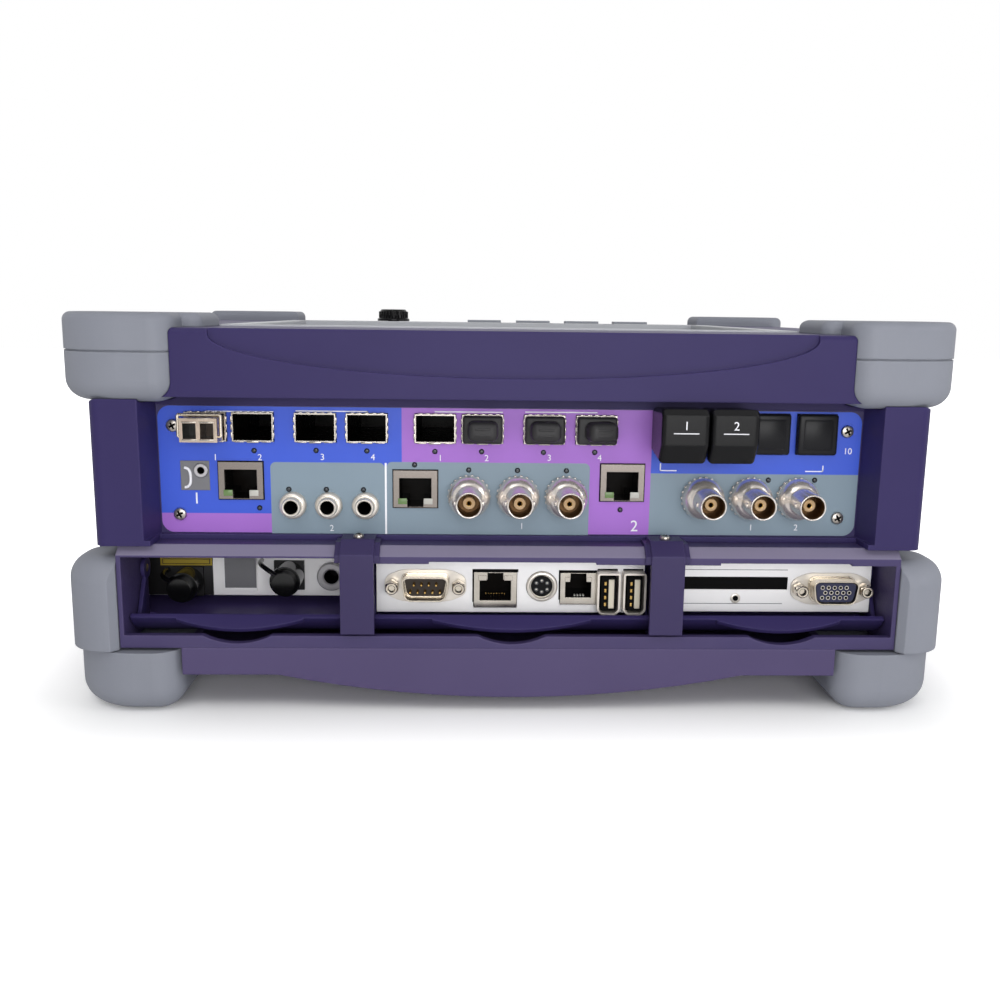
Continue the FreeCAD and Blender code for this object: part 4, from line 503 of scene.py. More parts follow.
def prism(corners, near, far, rounding=0, segments=4, coat=0, wall=0):
    """An outline in X and Z drawn out along Y, long edges rounded; with a wall, an open tray."""
    shape = bmesh.new()
    face = shape.faces.new([shape.verts.new((x, near, z)) for x, z in corners])
    drawn = bmesh.ops.extrude_face_region(shape, geom=[face])
    ends = [item for item in drawn["geom"] if isinstance(item, bmesh.types.BMVert)]
    bmesh.ops.translate(shape, vec=(0, far - near, 0), verts=ends)
    if rounding:
        long_edges = [
            edge
            for edge in shape.edges
            if abs(edge.verts[0].co.y - edge.verts[1].co.y) > SAME_POINT
        ]
        rounded_off(shape, long_edges, rounding, segments)
    bmesh.ops.recalc_face_normals(shape, faces=shape.faces)
    if wall:
        front = [face for face in shape.faces if face.normal.y < -0.9]
        bmesh.ops.delete(shape, geom=front, context="FACES_ONLY")
        bmesh.ops.reverse_faces(shape, faces=shape.faces)
        bmesh.ops.solidify(shape, geom=shape.faces, thickness=wall)
    for face in shape.faces:
        face.material_index = coat
    return shape


def d_outline(centre, inset):
    """The four corners of a D-shaped shell, drawn in by an inset."""
    x, z = centre
    low, top, half = 7.2 - inset, 8.45 - inset, 4.18 - inset
    return [(x - low, z - half), (x + low, z - half), (x + top, z + half), (x - top, z + half)]


def flange_outline(centre):
    """The flange of a D-shaped port: a flat hexagon with its two points cut off."""
    ends, middle = (15.4, 3.4), (9, 6.2)
    corners = []
    for side, rise, order in ((-1, -1, 1), (1, -1, -1), (1, 1, 1), (-1, 1, -1)):
        corners += [
            (centre[0] + side * x, centre[1] + rise * z)
            for x, z in (ends, middle)[::order]
        ]
    return corners


def standoffs(centre, start):
    """The two hexagonal standoffs beside a port, bored for the plug's screws."""
    parts = []
    radius, length = 2.75, 4
    for sign in (-1, 1):
        at = (centre[0] + sign * SCREW_PITCH / 2, start, centre[1])
        hexagon = bmesh.new()
        bmesh.ops.create_cone(
            hexagon, cap_ends=True, segments=6, radius1=radius, radius2=radius, depth=length
        )
        rounded_off(hexagon, hexagon.edges, 0.25, 2)
        placed(hexagon, (at[0], start - length / 2, at[2]), 90)
        bore = turned([(0, -9, 1), (1.6, -9, 1), (1.6, 9, 1), (0, 9, 1)], at, steps=20)
        parts.append(carved(hexagon, bore))
        nose = [
            (2.3, -4, 0), (2.3, -4.9, 0), (2, -5.2, 0), (1.45, -5.2, 0), (1.25, -5, 1),
            (1.25, -1.5, 1), (0, -1.5, 1),
        ]
        parts.append(turned(nose, at, steps=28))
    return parts


SERIAL = (-32.3, 44.6)
VIDEO = (123.3, 43.4)
SCREW_PITCH = 24.99
SHELL_LENGTH = 6.2
PIN_PITCH, PIN_ROWS = 2.77, 2.84
HOLE_PITCH, HOLE_ROWS, HOLE_STAGGER = 2.29, 1.98, 0.57
for name, centre, plate in (("serial", SERIAL, MIDDLE_PLATE), ("video", VIDEO, RIGHT_PLATE)):
    start = plate - 1
    tip = start - SHELL_LENGTH
    parts = [
        prism(flange_outline(centre), start, plate, 2.2, coat=4),
        prism(d_outline(centre, -1), start - 0.7, start, 3, segments=5),
        prism(d_outline(centre, 0), tip, start, 2.2, segments=5, wall=0.5),
    ]
    if name == "serial":
        parts.append(prism(d_outline(centre, 0.5), tip + 4.4, start, 1.8, coat=2))
        for row, count in ((0.5, 4), (-0.5, 5)):
            for column in range(count):
                across = (column - (count - 1) / 2) * PIN_PITCH
                at = (centre[0] + across, tip, centre[1] + row * PIN_ROWS)
                pin = [(0, 0.8, 3), (0.32, 0.85, 3), (0.5, 1.2, 3), (0.5, 5.2, 3)]
                parts.append(turned(pin, at, steps=12))
    else:
        core = prism(d_outline(centre, 0.5), tip + 0.8, start, 1.8, coat=2)
        for row in (-1, 0, 1):
            stagger = -HOLE_STAGGER if row else HOLE_STAGGER
            for column in range(-2, 3):
                across = column * HOLE_PITCH + stagger
                at = (centre[0] + across, tip + 0.8, centre[1] + row * HOLE_ROWS)
                hole = [(0, -0.5, 1), (0.55, -0.5, 1), (0.55, 2.6, 1), (0, 2.6, 1)]
                core = carved(core, turned(hole, at, steps=12))
                rim = [(0.56, 0.02, 4), (0.56, -0.06, 4), (0.78, -0.06, 4), (0.78, 0.02, 4)]
                parts.append(turned(rim, at, steps=16))
        parts.append(core)
    coats = [nickel, painted_shade_black, brown_core if name == "serial" else slate_core, gold, white_nickel]
    piece(f"{name}_connector", parts, coats, replaced=[f"{name}_port"])
studs = standoffs(SERIAL, MIDDLE_PLATE - 1) + standoffs(VIDEO, RIGHT_PLATE - 1)
piece("port_standoffs", studs, [nickel, painted_shade_black], replaced=["jackscrews"])

# Network and telephone jacks.
# Folded steel shells round black moulded cores, with gold-plated spring contacts;
# those on the module are duller and have light pipes in their lower corners.
JACK_MOUTH = -118.3
MOULDING_AND_SHADE_BLACK = tone(14, 11, 9)
MOUTH_FADE = 0.15
MOUTH_GLOSS = 0.06


def mouthed(name, colour, shade, roughness, mouth):
    """Plated metal that turns black from a given depth inwards: a jack's black moulding, and
    painted shade inside a cage.
    """
    made = plated(name, colour, shade, roughness, patina=5)
    tree = made.node_tree
    shader = tree.nodes["Principled BSDF"]
    where = own_place(tree)
    depth = wire(tree, "ShaderNodeSeparateXYZ", {0: where}).outputs["Y"]
    near, far = (mouth - MOUTH_FADE) * MM, (mouth + MOUTH_FADE) * MM
    inside = between(tree, depth, 0, 1, near, far)
    metal_colour = shader.inputs["Base Color"].links[0].from_socket
    colour = blended(tree, inside, metal_colour, MOULDING_AND_SHADE_BLACK)
    tree.links.new(colour, shader.inputs["Base Color"])
    shader.inputs["Specular IOR Level"].default_value = MOUTH_GLOSS
    tree.links.new(between(tree, inside, 1, 0), shader.inputs["Metallic"])
    return made


jack_metal = mouthed(
    "jack_metal", tone(222, 216, 206), tone(182, 174, 162), (0.14, 0.28), JACK_MOUTH
)
DULL_SHELLS = ((0, -120, 84), (130, 1.55, 12), 0.1, tone(142, 134, 128))
dress(tinted(jack_metal, [DULL_SHELLS]), "network_jacks", "phone_jack")
green_pipe = moulding(
    "green_pipe", tone(110, 138, 84), tone(92, 120, 70), (0.2, 0.3),
    grain=0.5, depth=0.004, rounding=0.1,
)
clear_pipe = moulding(
    "clear_pipe", tone(196, 194, 186), tone(176, 174, 168), (0.2, 0.3),
    grain=0.5, depth=0.004, rounding=0.1,
)
black_core_and_gap_shade = moulding("black_core_and_gap_shade", tone(22, 21, 23), tone(16, 15, 17), (0.4, 0.55), gloss=0.1)
MODULE_JACKS = [(-100.1, 84.4), (-36, 81.7), (40.9, 84.6)]
JACK_SHELL = (16.2, 13.8)
GAP = 0.4
JACK_LIP = 0.8
BASE_JACK = (-5.9, 42.9)
PHONE_JACK = (25.6, 43.5)
CONTACT_PITCH, PHONE_PITCH = 1.02, 1.1
CONTACT_SLOPE = -28
jack_parts = []
for x, z in MODULE_JACKS:
    front = MODULE_PLATE - JACK_LIP
    for sign in (-1, 1):
        beside = (x + sign * (JACK_SHELL[0] + GAP) / 2, MODULE_PLATE, z)
        above = (x, MODULE_PLATE, z + sign * (JACK_SHELL[1] + GAP) / 2)
        # Thin dark films round each module jack paint the shade in the gap between shell and plate.
        jack_parts.append(block(beside, (GAP, INK_DEPTH, JACK_SHELL[1] + 2 * GAP), coat=2))
        jack_parts.append(block(above, (JACK_SHELL[0], INK_DEPTH, GAP), coat=2))
    for sign, coat in ((-1, 0), (1, 1)):
        pipe = (x + sign * 4.75, front - 0.05, z - 4.6)
        jack_parts.append(block(pipe, (3.3, 0.4, 2.2), 0.12, coat=coat))
front = MIDDLE_PLATE - JACK_LIP
for number in range(8):
    at = (BASE_JACK[0] + (number - 3.5) * CONTACT_PITCH, front + 3, BASE_JACK[1] - 2.6)
    contact = block((0, 0, 0), (0.42, 5, 0.35), 0.08, segments=1, coat=4)
    jack_parts.append(placed(contact, at, CONTACT_SLOPE))
for number in range(4):
    across = 0.4 + (number - 1.5) * PHONE_PITCH
    at = (PHONE_JACK[0] + across, front + 1.2, PHONE_JACK[1] - 2.7)
    jack_parts.append(block(at, (0.6, 1.6, 0.6), 0.1, segments=1, coat=1))
for sign in (-1, 1):
    corner = (BASE_JACK[0] + sign * 4.9, front, BASE_JACK[1] + 4.7)
    jack_parts.append(block(corner, (3.2, 0.3, 2), 0.1, segments=1, coat=3))
    corner = (PHONE_JACK[0] + sign * 4.1, front - 0.05, PHONE_JACK[1] + 3.7)
    jack_parts.append(block(corner, (2, 0.3, 2), 0.1, segments=1, coat=3))
piece("jack_details", jack_parts, [green_pipe, clear_pipe, black_core_and_gap_shade, jack_metal, gold])

# Keyboard port.
# A round socket in a turned nickel collar, with a black core that takes six pins.
DIN = (11.8, MIDDLE_PLATE, 44.2)
PIN_ANGLES = (35, 90, 145, 215, 270, 325)
collar = [
    (5.8, 1, 0), (5.8, -0.4, 0), (5.5, -0.9, 0), (4.9, -1, 0), (4.5, -0.7, 0), (4.4, 0.6, 1),
    (0, 0.6, 1),
]
din_parts = [turned(collar, DIN)]
core = turned([(0, 0.1, 1), (3.9, 0.1, 1), (4.1, 0.3, 1), (4.1, 1.5, 1), (0, 1.5, 1)], DIN)
for angle in map(math.radians, PIN_ANGLES):
    at = (DIN[0] + 2.5 * math.cos(angle), DIN[1], DIN[2] + 2.2 * math.sin(angle))
    rim = [(0.42, 0.12, 2), (0.42, 0.02, 2), (0.72, 0.02, 2), (0.72, 0.12, 2)]
    din_parts.append(turned(rim, at, steps=14))
    hole = [(0, -0.5, 3), (0.4, -0.5, 3), (0.4, 1.2, 3), (0, 1.2, 3)]
    core = carved(core, turned(hole, at, steps=12))
din_parts.append(core)
pin_grey = moulding(
    "pin_grey", tone(96, 96, 100), tone(84, 84, 88), (0.4, 0.5), depth=0.004, rounding=0.1
)
piece(
    "keyboard_socket", din_parts, [white_nickel, black_core_and_gap_shade, pin_grey, painted_shade_black],
    replaced=["keyboard_port"],
)

# USB ports.
# Two upright folded-steel sockets with cropped lower corners,
# each with an ivory tongue and four contacts.
ivory = moulding("ivory", tone(226, 218, 198), tone(210, 202, 182), (0.4, 0.5), depth=0.004)
USB_PORTS = [(36.8, 42.5), (46.6, 42.5)]
USB_FRONT, USB_BACK = -123, -106
USB_PITCH = 2.7
usb_parts = []
for x, z in USB_PORTS:
    outline = [(-3.6, 7.4), (-3.6, -6.1), (-2.3, -7.4), (2.3, -7.4), (3.6, -6.1), (3.6, 7.4)]
    outer = [(x + across, z + up) for across, up in outline]
    usb_parts.append(prism(outer, USB_FRONT, USB_BACK, 0.4, segments=2, wall=0.75))
    # A black block inside each socket paints the shade behind the tongue.
    usb_parts.append(block((x, USB_FRONT + 6, z), (5.6, 10, 13), coat=1))
    usb_parts.append(block((x + 1, USB_FRONT + 4.7, z), (2.1, 8.4, 11.2), 0.2, coat=2))
    for number in range(4):
        at = (x - 1.3, USB_FRONT + 1.1, z + (number - 1.5) * USB_PITCH)
        usb_parts.append(block(at, (0.9, 1.2, 1.5), 0.15, segments=1, coat=3))
piece(
    "usb_sockets", usb_parts, [white_nickel, painted_shade_black, ivory, gold],
    replaced=["usb_ports"],
)

# Card slot.
# A folded steel guide behind the right plate. Narrow grooves run along the plate above and
# below the slot, drawn as grey lines of painted shade, and a small round socket in a turned
# ring sits under it.
dress(nickel, "card_cage")
SMALL_SOCKET = (86.7, RIGHT_PLATE, 39.3)
# Two grey lines on the plate paint the shade of the grooves above and below the slot.
slot_parts = [
    block((85, RIGHT_PLATE, z), (length, 0.06, 0.25)) for length, z in ((40, 37.2), (43, 50.6))
]
socket_ring = [(1.05, -0.25, 1), (1.7, -0.25, 1), (1.95, -0.1, 1), (1.95, 0.1, 1)]
socket_well = [(0, 0.3, 2), (1.05, 0.3, 2), (1.05, -0.25, 2)]
slot_parts += [turned(profile, SMALL_SOCKET, steps=24) for profile in (socket_ring, socket_well)]
piece("right_plate_details", slot_parts, [grey_panel_and_groove_shade, white_nickel, painted_shade_black])

# Fibre ports and their caps.
# Two round ferrule barrels on square flanges in the left bay. Each wears a ridged cap of black
# rubber, tied to the plate by a moulded tether.
dress(black_paint, "fibre_ports")
black_rubber = moulding(
    "black_rubber", tone(12, 12, 13), tone(9, 9, 10), (0.1, 0.2), depth=0.004, rounding=0.5
)
dress(black_rubber, "fibre_cap_black", "fibre_cap_metal")
CAP_NOSE = -105.5
TETHER_RADIUS = 0.95


def strap(points, radius):
    """A round strap along a smooth line through a few points."""
    curve = bpy.data.curves.new("strap", "CURVE")
    curve.dimensions = "3D"
    curve.bevel_depth = radius
    curve.bevel_resolution = 3
    curve.use_fill_caps = True
    spline = curve.splines.new("NURBS")
    spline.points.add(len(points) - 1)
    for point, place in zip(spline.points, points):
        point.co = (*place, 1)
    spline.order_u = 3
    spline.use_endpoint_u = True
    return drawn_out(curve)


def drawn_out(curve):
    """A curve or text as a shape of its own."""
    thing = bpy.data.objects.new("drawn", curve)
    bpy.context.scene.collection.objects.link(thing)
    mesh = bpy.data.meshes.new_from_object(
        thing.evaluated_get(bpy.context.evaluated_depsgraph_get())
    )
    shape = bmesh.new()
    shape.from_mesh(mesh)
    bpy.data.objects.remove(thing)
    bpy.data.curves.remove(curve)
    bpy.data.meshes.remove(mesh)
    bmesh.ops.remove_doubles(shape, verts=shape.verts, dist=SAME_POINT)
    return shape


def ridges(at):
    """Two ring-shaped ridges round the grip of a cap."""
    ring = [(4.5, 0, 0), (4.85, 0.2, 0), (4.85, 0.6, 0), (4.5, 0.8, 0)]
    return [turned(ring, (at[0], CAP_NOSE + start, at[1]), steps=32) for start in (0.8, 2.2)]


FIBRE_CAPS = {
    "black": (
        (-128.7, 38.4),
        [
            (-136.8, -90.4, 43), (-137, -96, 43.4), (-136, -102, 43), (-131.6, -104.4, 41.4),
            (-129, -104.6, 40.4),
        ],
    ),
    "metal": (
        (-88.4, 41),
        [
            (-99.4, -90.4, 47), (-99.4, -96, 47.4), (-96, -102, 46.8), (-91.4, -104.2, 44.4),
            (-89.4, -104.6, 43),
        ],
    ),
}
for name, (at, route) in FIBRE_CAPS.items():
    body = f"fibre_cap_{name}"
    parts = ridges(at)
    if name == "black":
        parts.append(block((at[0] - 1, CAP_NOSE + 1, at[1] - 2.4), (6, 1.6, 2.2), 0.7, segments=3))
    piece(f"cap_ridges_{name}", parts, [black_rubber], body)
    tie = strap(route, TETHER_RADIUS)
    tether = piece(f"cap_tether_{name}", [tie], [black_rubber], None)
    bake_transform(tether)

# Headset jacks.
# Turned collars with a plain bore: a wide pale one in the left bay, and a small one on the module.
pale_collar = plated(
    "pale_collar", tone(196, 194, 196), tone(178, 176, 180), (0.3, 0.45), metal=0.35
)
wide_collar = [
    (4.1, 16, 0), (4.1, 0, 0), (5.8, 0, 0), (5.8, -2, 0), (5.3, -2.6, 0), (3.5, -2.6, 0),
    (2.9, -2.1, 1), (2.9, 10.4, 1), (0, 10.4, 1),
]
small_collar = [
    (2.6, 13, 0), (2.6, -0.5, 0), (2.3, -0.8, 0), (1.5, -0.8, 0), (1.3, -0.6, 1), (1.3, 10, 1),
    (0, 10, 1),
]
MODULE_HEADSET = (-114.6, MODULE_PLATE, 88)
collars = [
    turned(wide_collar, (-71.4, LEFT_PLATE, 40.6)),
    turned(small_collar, MODULE_HEADSET, steps=28),
]
piece("headset_collars", collars, [pale_collar, painted_shade_black], replaced=["headset_jacks"])

# Module housing.
# A drawer that slides in between base and top: a moulded
# purple box with two rounded cheeks beside its plate.
dress(purple_plastic, "module_housing")

# Module plate.
# Aluminium sheet with a printed film in blue, violet and grey
# fields. Its bare edge shows as a bright line.
LABEL_BLUE = tone(52, 86, 206)
LABEL_VIOLET = tone(160, 104, 200)
LABEL_GREY = tone(126, 144, 158)
LABEL_WHITE = tone(238, 238, 244)
BARE_EDGE = tone(224, 224, 230)
LABEL_CORNER = 4.5
LABEL_REACH = 200
LABEL_ZONES = [
    ((-129.6, 129.6), (64.8, 111.7), LABEL_CORNER, LABEL_VIOLET),
    ((-129.6, -41), (72, 111.7), LABEL_CORNER, LABEL_BLUE),
    ((-60, -41), (72, 111.7), 0.1, LABEL_BLUE),
    ((-129.6, -60), (72, 90), 0.1, LABEL_BLUE),
    ((51.5, 129.6), (80, 111.7), LABEL_CORNER, LABEL_BLUE),
    ((51.5, 100), (80, 111.7), 0.1, LABEL_BLUE),
    ((-89.3, -47.3), (60, 91.3), 2, LABEL_GREY),
    ((-46.6, 28.7), (60, 91.7), 2, LABEL_GREY),
    ((51.5, 129.6), (64.8, 88.2), LABEL_CORNER, LABEL_GREY),
    ((51.5, 110), (64.8, 88.2), 0.1, LABEL_GREY),
    ((60, 129.6), (80, 88.2), 0.1, LABEL_GREY),
    ((-47.3, -46.6), (60, 91.3), 0.1, LABEL_WHITE),
]


def printed_plate():
    """Colour fields with rounded corners on painted sheet, and the sheet's bare edge."""
    made, tree, shader = finish("printed_plate", {"Specular IOR Level": 0.4})
    where = own_place(tree)
    speck = noise(tree, where, 0.3, 2)
    cloud = noise(tree, where, 30)
    colour = blended(tree, cloud, PURPLE_SHADE, PURPLE)
    for x, z, corner, ink in LABEL_ZONES:
        centre = (sum(x) / 2, MODULE_PLATE, sum(z) / 2)
        half = ((x[1] - x[0]) / 2, LABEL_REACH, (z[1] - z[0]) / 2)
        colour = blended(tree, zone_share(tree, where, centre, half, corner), colour, ink)
    ink_depth = {"Value": between(tree, cloud, 0.94, 1.06), "Color": colour}
    shaded = wire(tree, "ShaderNodeHueSaturation", ink_depth)
    depth = wire(tree, "ShaderNodeSeparateXYZ", {0: where}).outputs["Y"]
    cut_edge = scalar(tree, "GREATER_THAN", depth, (MODULE_PLATE + INK_DEPTH) * MM)
    whole = blended(tree, cut_edge, shaded.outputs["Color"], BARE_EDGE)
    tree.links.new(whole, shader.inputs["Base Color"])
    tree.links.new(between(tree, speck, 0.34, 0.46), shader.inputs["Roughness"])
    grained(tree, shader, speck, FINE_GRAIN)
    return made


dress(printed_plate(), "module_plate")

# Marks on the module plate.
# Plain port numbers and bracket lines screen-printed in white, a grey
# panel with a handset sign, and small dark lamp domes beside the ports.
white_ink = moulding(
    "white_ink", tone(240, 240, 246), tone(232, 232, 238), (0.4, 0.5),
    depth=0.003, rounding=0.05, wear=0,
)
lamp_lens = moulding(
    "lamp_lens", tone(52, 56, 62), tone(40, 44, 50), (0.12, 0.2), depth=0.003, rounding=0.1
)


def numeral(text, at, height, flat=False):
    """A plain numeral, printed on an upright face or on a flat one."""
    letter = bpy.data.curves.new("numeral", "FONT")
    letter.body = text
    letter.size = height / DIGIT_SHARE
    letter.align_x = "CENTER"
    letter.align_y = "CENTER"
    letter.extrude = 0.06
    return placed(drawn_out(letter), at, 0 if flat else 90)


DIGIT_SHARE = 0.7
PORT_NUMBERS = [("1", -116.6, 77.4), ("2", 46, 67.9)]
SMALL_NUMBERS = [
    ("1", -109.2, 92.8), ("2", -93, 92.9), ("3", -70.1, 93.2), ("4", -51.6, 93.3),
    ("1", -26.8, 93.2), ("2", -9.7, 93.3), ("3", 13.5, 93.6), ("4", 32.2, 93.7), ("1", 3.7, 67.7),
    ("1", 90.2, 67.7), ("2", 107.3, 67.8), ("2", -67.1, 66.5), ("10", 125, 97),
]
LAMPS = [
    (-95, 95.5), (-72.4, 95.7), (-53.8, 95.7), (-28.8, 95.7), (-11.6, 95.8), (11.3, 95.7),
    (30.3, 95.9), (-93.6, 74.1), (-82.7, 81.2), (-68.9, 81.2), (-55.2, 81.2), (-36.3, 90.7),
    (-16.3, 88.9), (1.8, 88.9), (20, 88.9), (40.5, 74.3), (95.8, 86), (113.3, 86.1),
]
LINES = [
    ((-111.8, -87.8), 109.8), ((-79.3, -53.4), 110.2), ((-28.7, -4.1), 110.4),
    ((4.5, 30.7), 110.6), ((55, 60.9), 89.3), ((109.7, 116.1), 89.4),
]
TICKS = [(-111.8, (108.6, 109.8)), (-53.4, (109, 110.2)), (55, (89.3, 91.8)), (116.1, (89.4, 91.4))]
LINE_WIDTH = 0.4
BIG_HEIGHT, SMALL_HEIGHT = 4.2, 2.3
marks = [numeral(text, (x, MODULE_PLATE, z), BIG_HEIGHT) for text, x, z in PORT_NUMBERS]
marks += [numeral(text, (x, MODULE_PLATE, z), SMALL_HEIGHT) for text, x, z in SMALL_NUMBERS]
marks += [film(x, (z, z), MODULE_PLATE, LINE_WIDTH) for x, z in LINES]
marks += [film((x, x), z, MODULE_PLATE, LINE_WIDTH) for x, z in TICKS]
dome = [(1, 0, 2), (1, -0.15, 2), (0.8, -0.2, 1), (0.55, -0.5, 1), (0, -0.6, 1)]
marks += [turned(dome, (x, MODULE_PLATE, z), steps=16) for x, z in LAMPS]
handset_plate = block((-116.8, MODULE_PLATE - 0.1, 86.1), (10.6, 0.3, 11), 0.1, segments=1, coat=3)
bore = turned([(0, -2, 3), (2.75, -2, 3), (2.75, 2, 3), (0, 2, 3)], MODULE_HEADSET, steps=28)
marks.append(carved(handset_plate, bore))
HANDSET_RADIUS = 0.5
handset = [(-120.6, 89), (-118.8, 88.8), (-118.3, 85.3), (-118.8, 81.9), (-120.6, 81.7)]
marks.append(strap([(x, MODULE_PLATE - 0.3, z) for x, z in handset], HANDSET_RADIUS))
piece("plate_marks", marks, [white_ink, lamp_lens, painted_shade_black, grey_panel_and_groove_shade])

# Transceiver cages.
# Boxes folded from tinned spring steel, with a row of sprung
# fingers round the mouth and a latch tongue below.
CAGE_MOUTH = -119.7
# The cage steel turns black from the mouth inwards: painted shade inside the cages.
cage_steel = mouthed(
    "cage_steel", tone(206, 200, 192), tone(164, 156, 146), (0.2, 0.36), CAGE_MOUTH
)
dress(cage_steel, "cages_left", "cages_right")
finger_steel = plated(
    "finger_steel", tone(212, 206, 198), tone(168, 160, 150), (0.16, 0.3), patina=3
)
CAGES = [-112.3, -95.2, -72.5, -53.7, -28.7, -11.3, 11.5, 30.7]
CAGE_LEVEL = 104.2
CAGE_LIP = -120.2
TOP_PITCH, SIDE_PITCH = 2.7, 2.9
fingers = []
for x in CAGES:
    for number in range(5):
        at = (x + (number - 2) * TOP_PITCH, CAGE_LIP + 0.55, CAGE_LEVEL + 5.45)
        fingers.append(block(at, (1.9, 1.2, 0.5), 0.18))
    fingers.append(block((x, CAGE_LIP + 0.4, CAGE_LEVEL - 5.35), (4.4, 1.2, 0.8), 0.25))
    for side in (-1, 1):
        for number in range(3):
            at = (x + side * 7.65, CAGE_LIP + 0.55, CAGE_LEVEL + (number - 1) * SIDE_PITCH)
            fingers.append(block(at, (0.5, 1.2, 2.1), 0.18))
        at = (x + side * 4.9, CAGE_LIP + 0.5, CAGE_LEVEL - 5.4)
        fingers.append(block(at, (3.4, 1.1, 0.4), 0.15))
piece("cage_fingers", fingers, [finger_steel])

# Optical transceiver.
# A die-cast nickel-plated body with two fibre mouths, and a
# wire bail that swings down to pull it out.
OPTIC = (-112.3, 104)
OPTIC_FRONT = -129.6
MOUTH_OFFSET = 3.1
MOUTH_HALF = (2.4, 5, 2.85)
MOUTHS = {-1: tone(20, 30, 22), 1: tone(58, 40, 26)}
optic_metal = plated(
    "optic_metal", tone(222, 206, 190), tone(182, 164, 146), (0.14, 0.26), patina=4
)
optic_tree = optic_metal.node_tree
optic_shader = optic_tree.nodes["Principled BSDF"]
optic_place = own_place(optic_tree)
optic_colour = optic_shader.inputs["Base Color"].links[0].from_socket
optic_shine = 1
for side, ink in MOUTHS.items():
    centre = (OPTIC[0] + side * MOUTH_OFFSET, OPTIC_FRONT + MOUTH_HALF[1], OPTIC[1] - 0.3)
    share = zone_share(optic_tree, optic_place, centre, MOUTH_HALF, 0.02)
    optic_colour = blended(optic_tree, share, optic_colour, ink)
    bare = between(optic_tree, share, 1, 0)
    optic_shine = scalar(optic_tree, "MULTIPLY", bare, optic_shine)
optic_tree.links.new(optic_colour, optic_shader.inputs["Base Color"])
optic_tree.links.new(optic_shine, optic_shader.inputs["Metallic"])
dress(optic_metal, "transceiver")
dress(nickel, "transceiver_bail")
collar_bars = [
    block((OPTIC[0] + across, OPTIC_FRONT - 0.3, OPTIC[1] + level), (5.4, 0.5, 0.5), 0.15)
    for across in (-MOUTH_OFFSET, MOUTH_OFFSET)
    for level in (-3.4, 2.9)
]
collar_bars.append(block((OPTIC[0], OPTIC_FRONT + 0.4, OPTIC[1] + 4.1), (8, 1.6, 0.5), 0.18))
piece("transceiver_collars", collar_bars, [finger_steel], "transceiver")

# Cage plugs.
# Black rubber stoppers in three cages: a stem that fills the mouth, and a head
# with a ribbed flat grip, which has been pushed a little sideways on the last one.
plug_rubber = moulding(
    "plug_rubber", tone(42, 41, 43), tone(33, 32, 34), (0.45, 0.62),
    depth=0.015, rounding=0.5, wear=0.25, gloss=0.45,
)
PLUGS = {"plug_second": (-11.3, 0), "plug_third": (11.5, 0), "plug_fourth": (30.7, 14)}
PLUG_NECK = -121.5
for name, (x, lean) in PLUGS.items():
    stem = block((x, PLUG_NECK + 8, CAGE_LEVEL), (13.2, 14, 8.8), 0.5)
    head = block((x, PLUG_NECK - 0.5, CAGE_LEVEL), (14.6, 3, 10.2), 1, segments=3)
    grip = [block((x, PLUG_NECK - 4.7, CAGE_LEVEL), (11, 8.6, 7.2), 2.4, segments=5)]
    for level in (-1.1, 1.1):
        rib = (x, PLUG_NECK - 8.9, CAGE_LEVEL + level)
        grip.append(block(rib, (5.6, 0.7, 0.8), 0.3, segments=3))
    for part in grip:
        placed(part, angle=lean, axis="Z", about=(x, PLUG_NECK, CAGE_LEVEL))
    parts = [stem, head, *grip]
    piece(f"{name}_stopper", parts, [plug_rubber], name, replaced=[name])

# Bantam jacks.
# Round nickel nuts on turned barrels with a rounded mouth, standing out of the module's plate.
BANTAMS = [-81.2, -68, -54.4]
BANTAM_LEVEL = 75.3
bantam_parts = []
for x in BANTAMS:
    at = (x, MODULE_PLATE, BANTAM_LEVEL)
    nut = [
        (3.2, 0, 0), (5, 0, 0), (5, -1.7, 0), (4.8, -2.3, 0), (4.3, -2.7, 0), (3.9, -2.8, 0),
        (3.2, -2.8, 0),
    ]
    bantam_parts.append(turned(nut, at))
    mouth = [
        (3.3, 18, 0), (3.3, -2.9, 0), (3.6, -3.1, 0), (3.6, -4.9, 0), (3.45, -5.6, 0),
        (3.15, -6, 0), (2.85, -6, 0), (2.5, -5.7, 1), (2.35, -5.2, 1), (2.25, 16, 1), (0, 16, 1),
    ]
    bantam_parts.append(turned(mouth, at))
piece(
    "bantam_barrels", bantam_parts, [white_nickel, painted_shade_black], replaced=["bantam_jacks"]
)

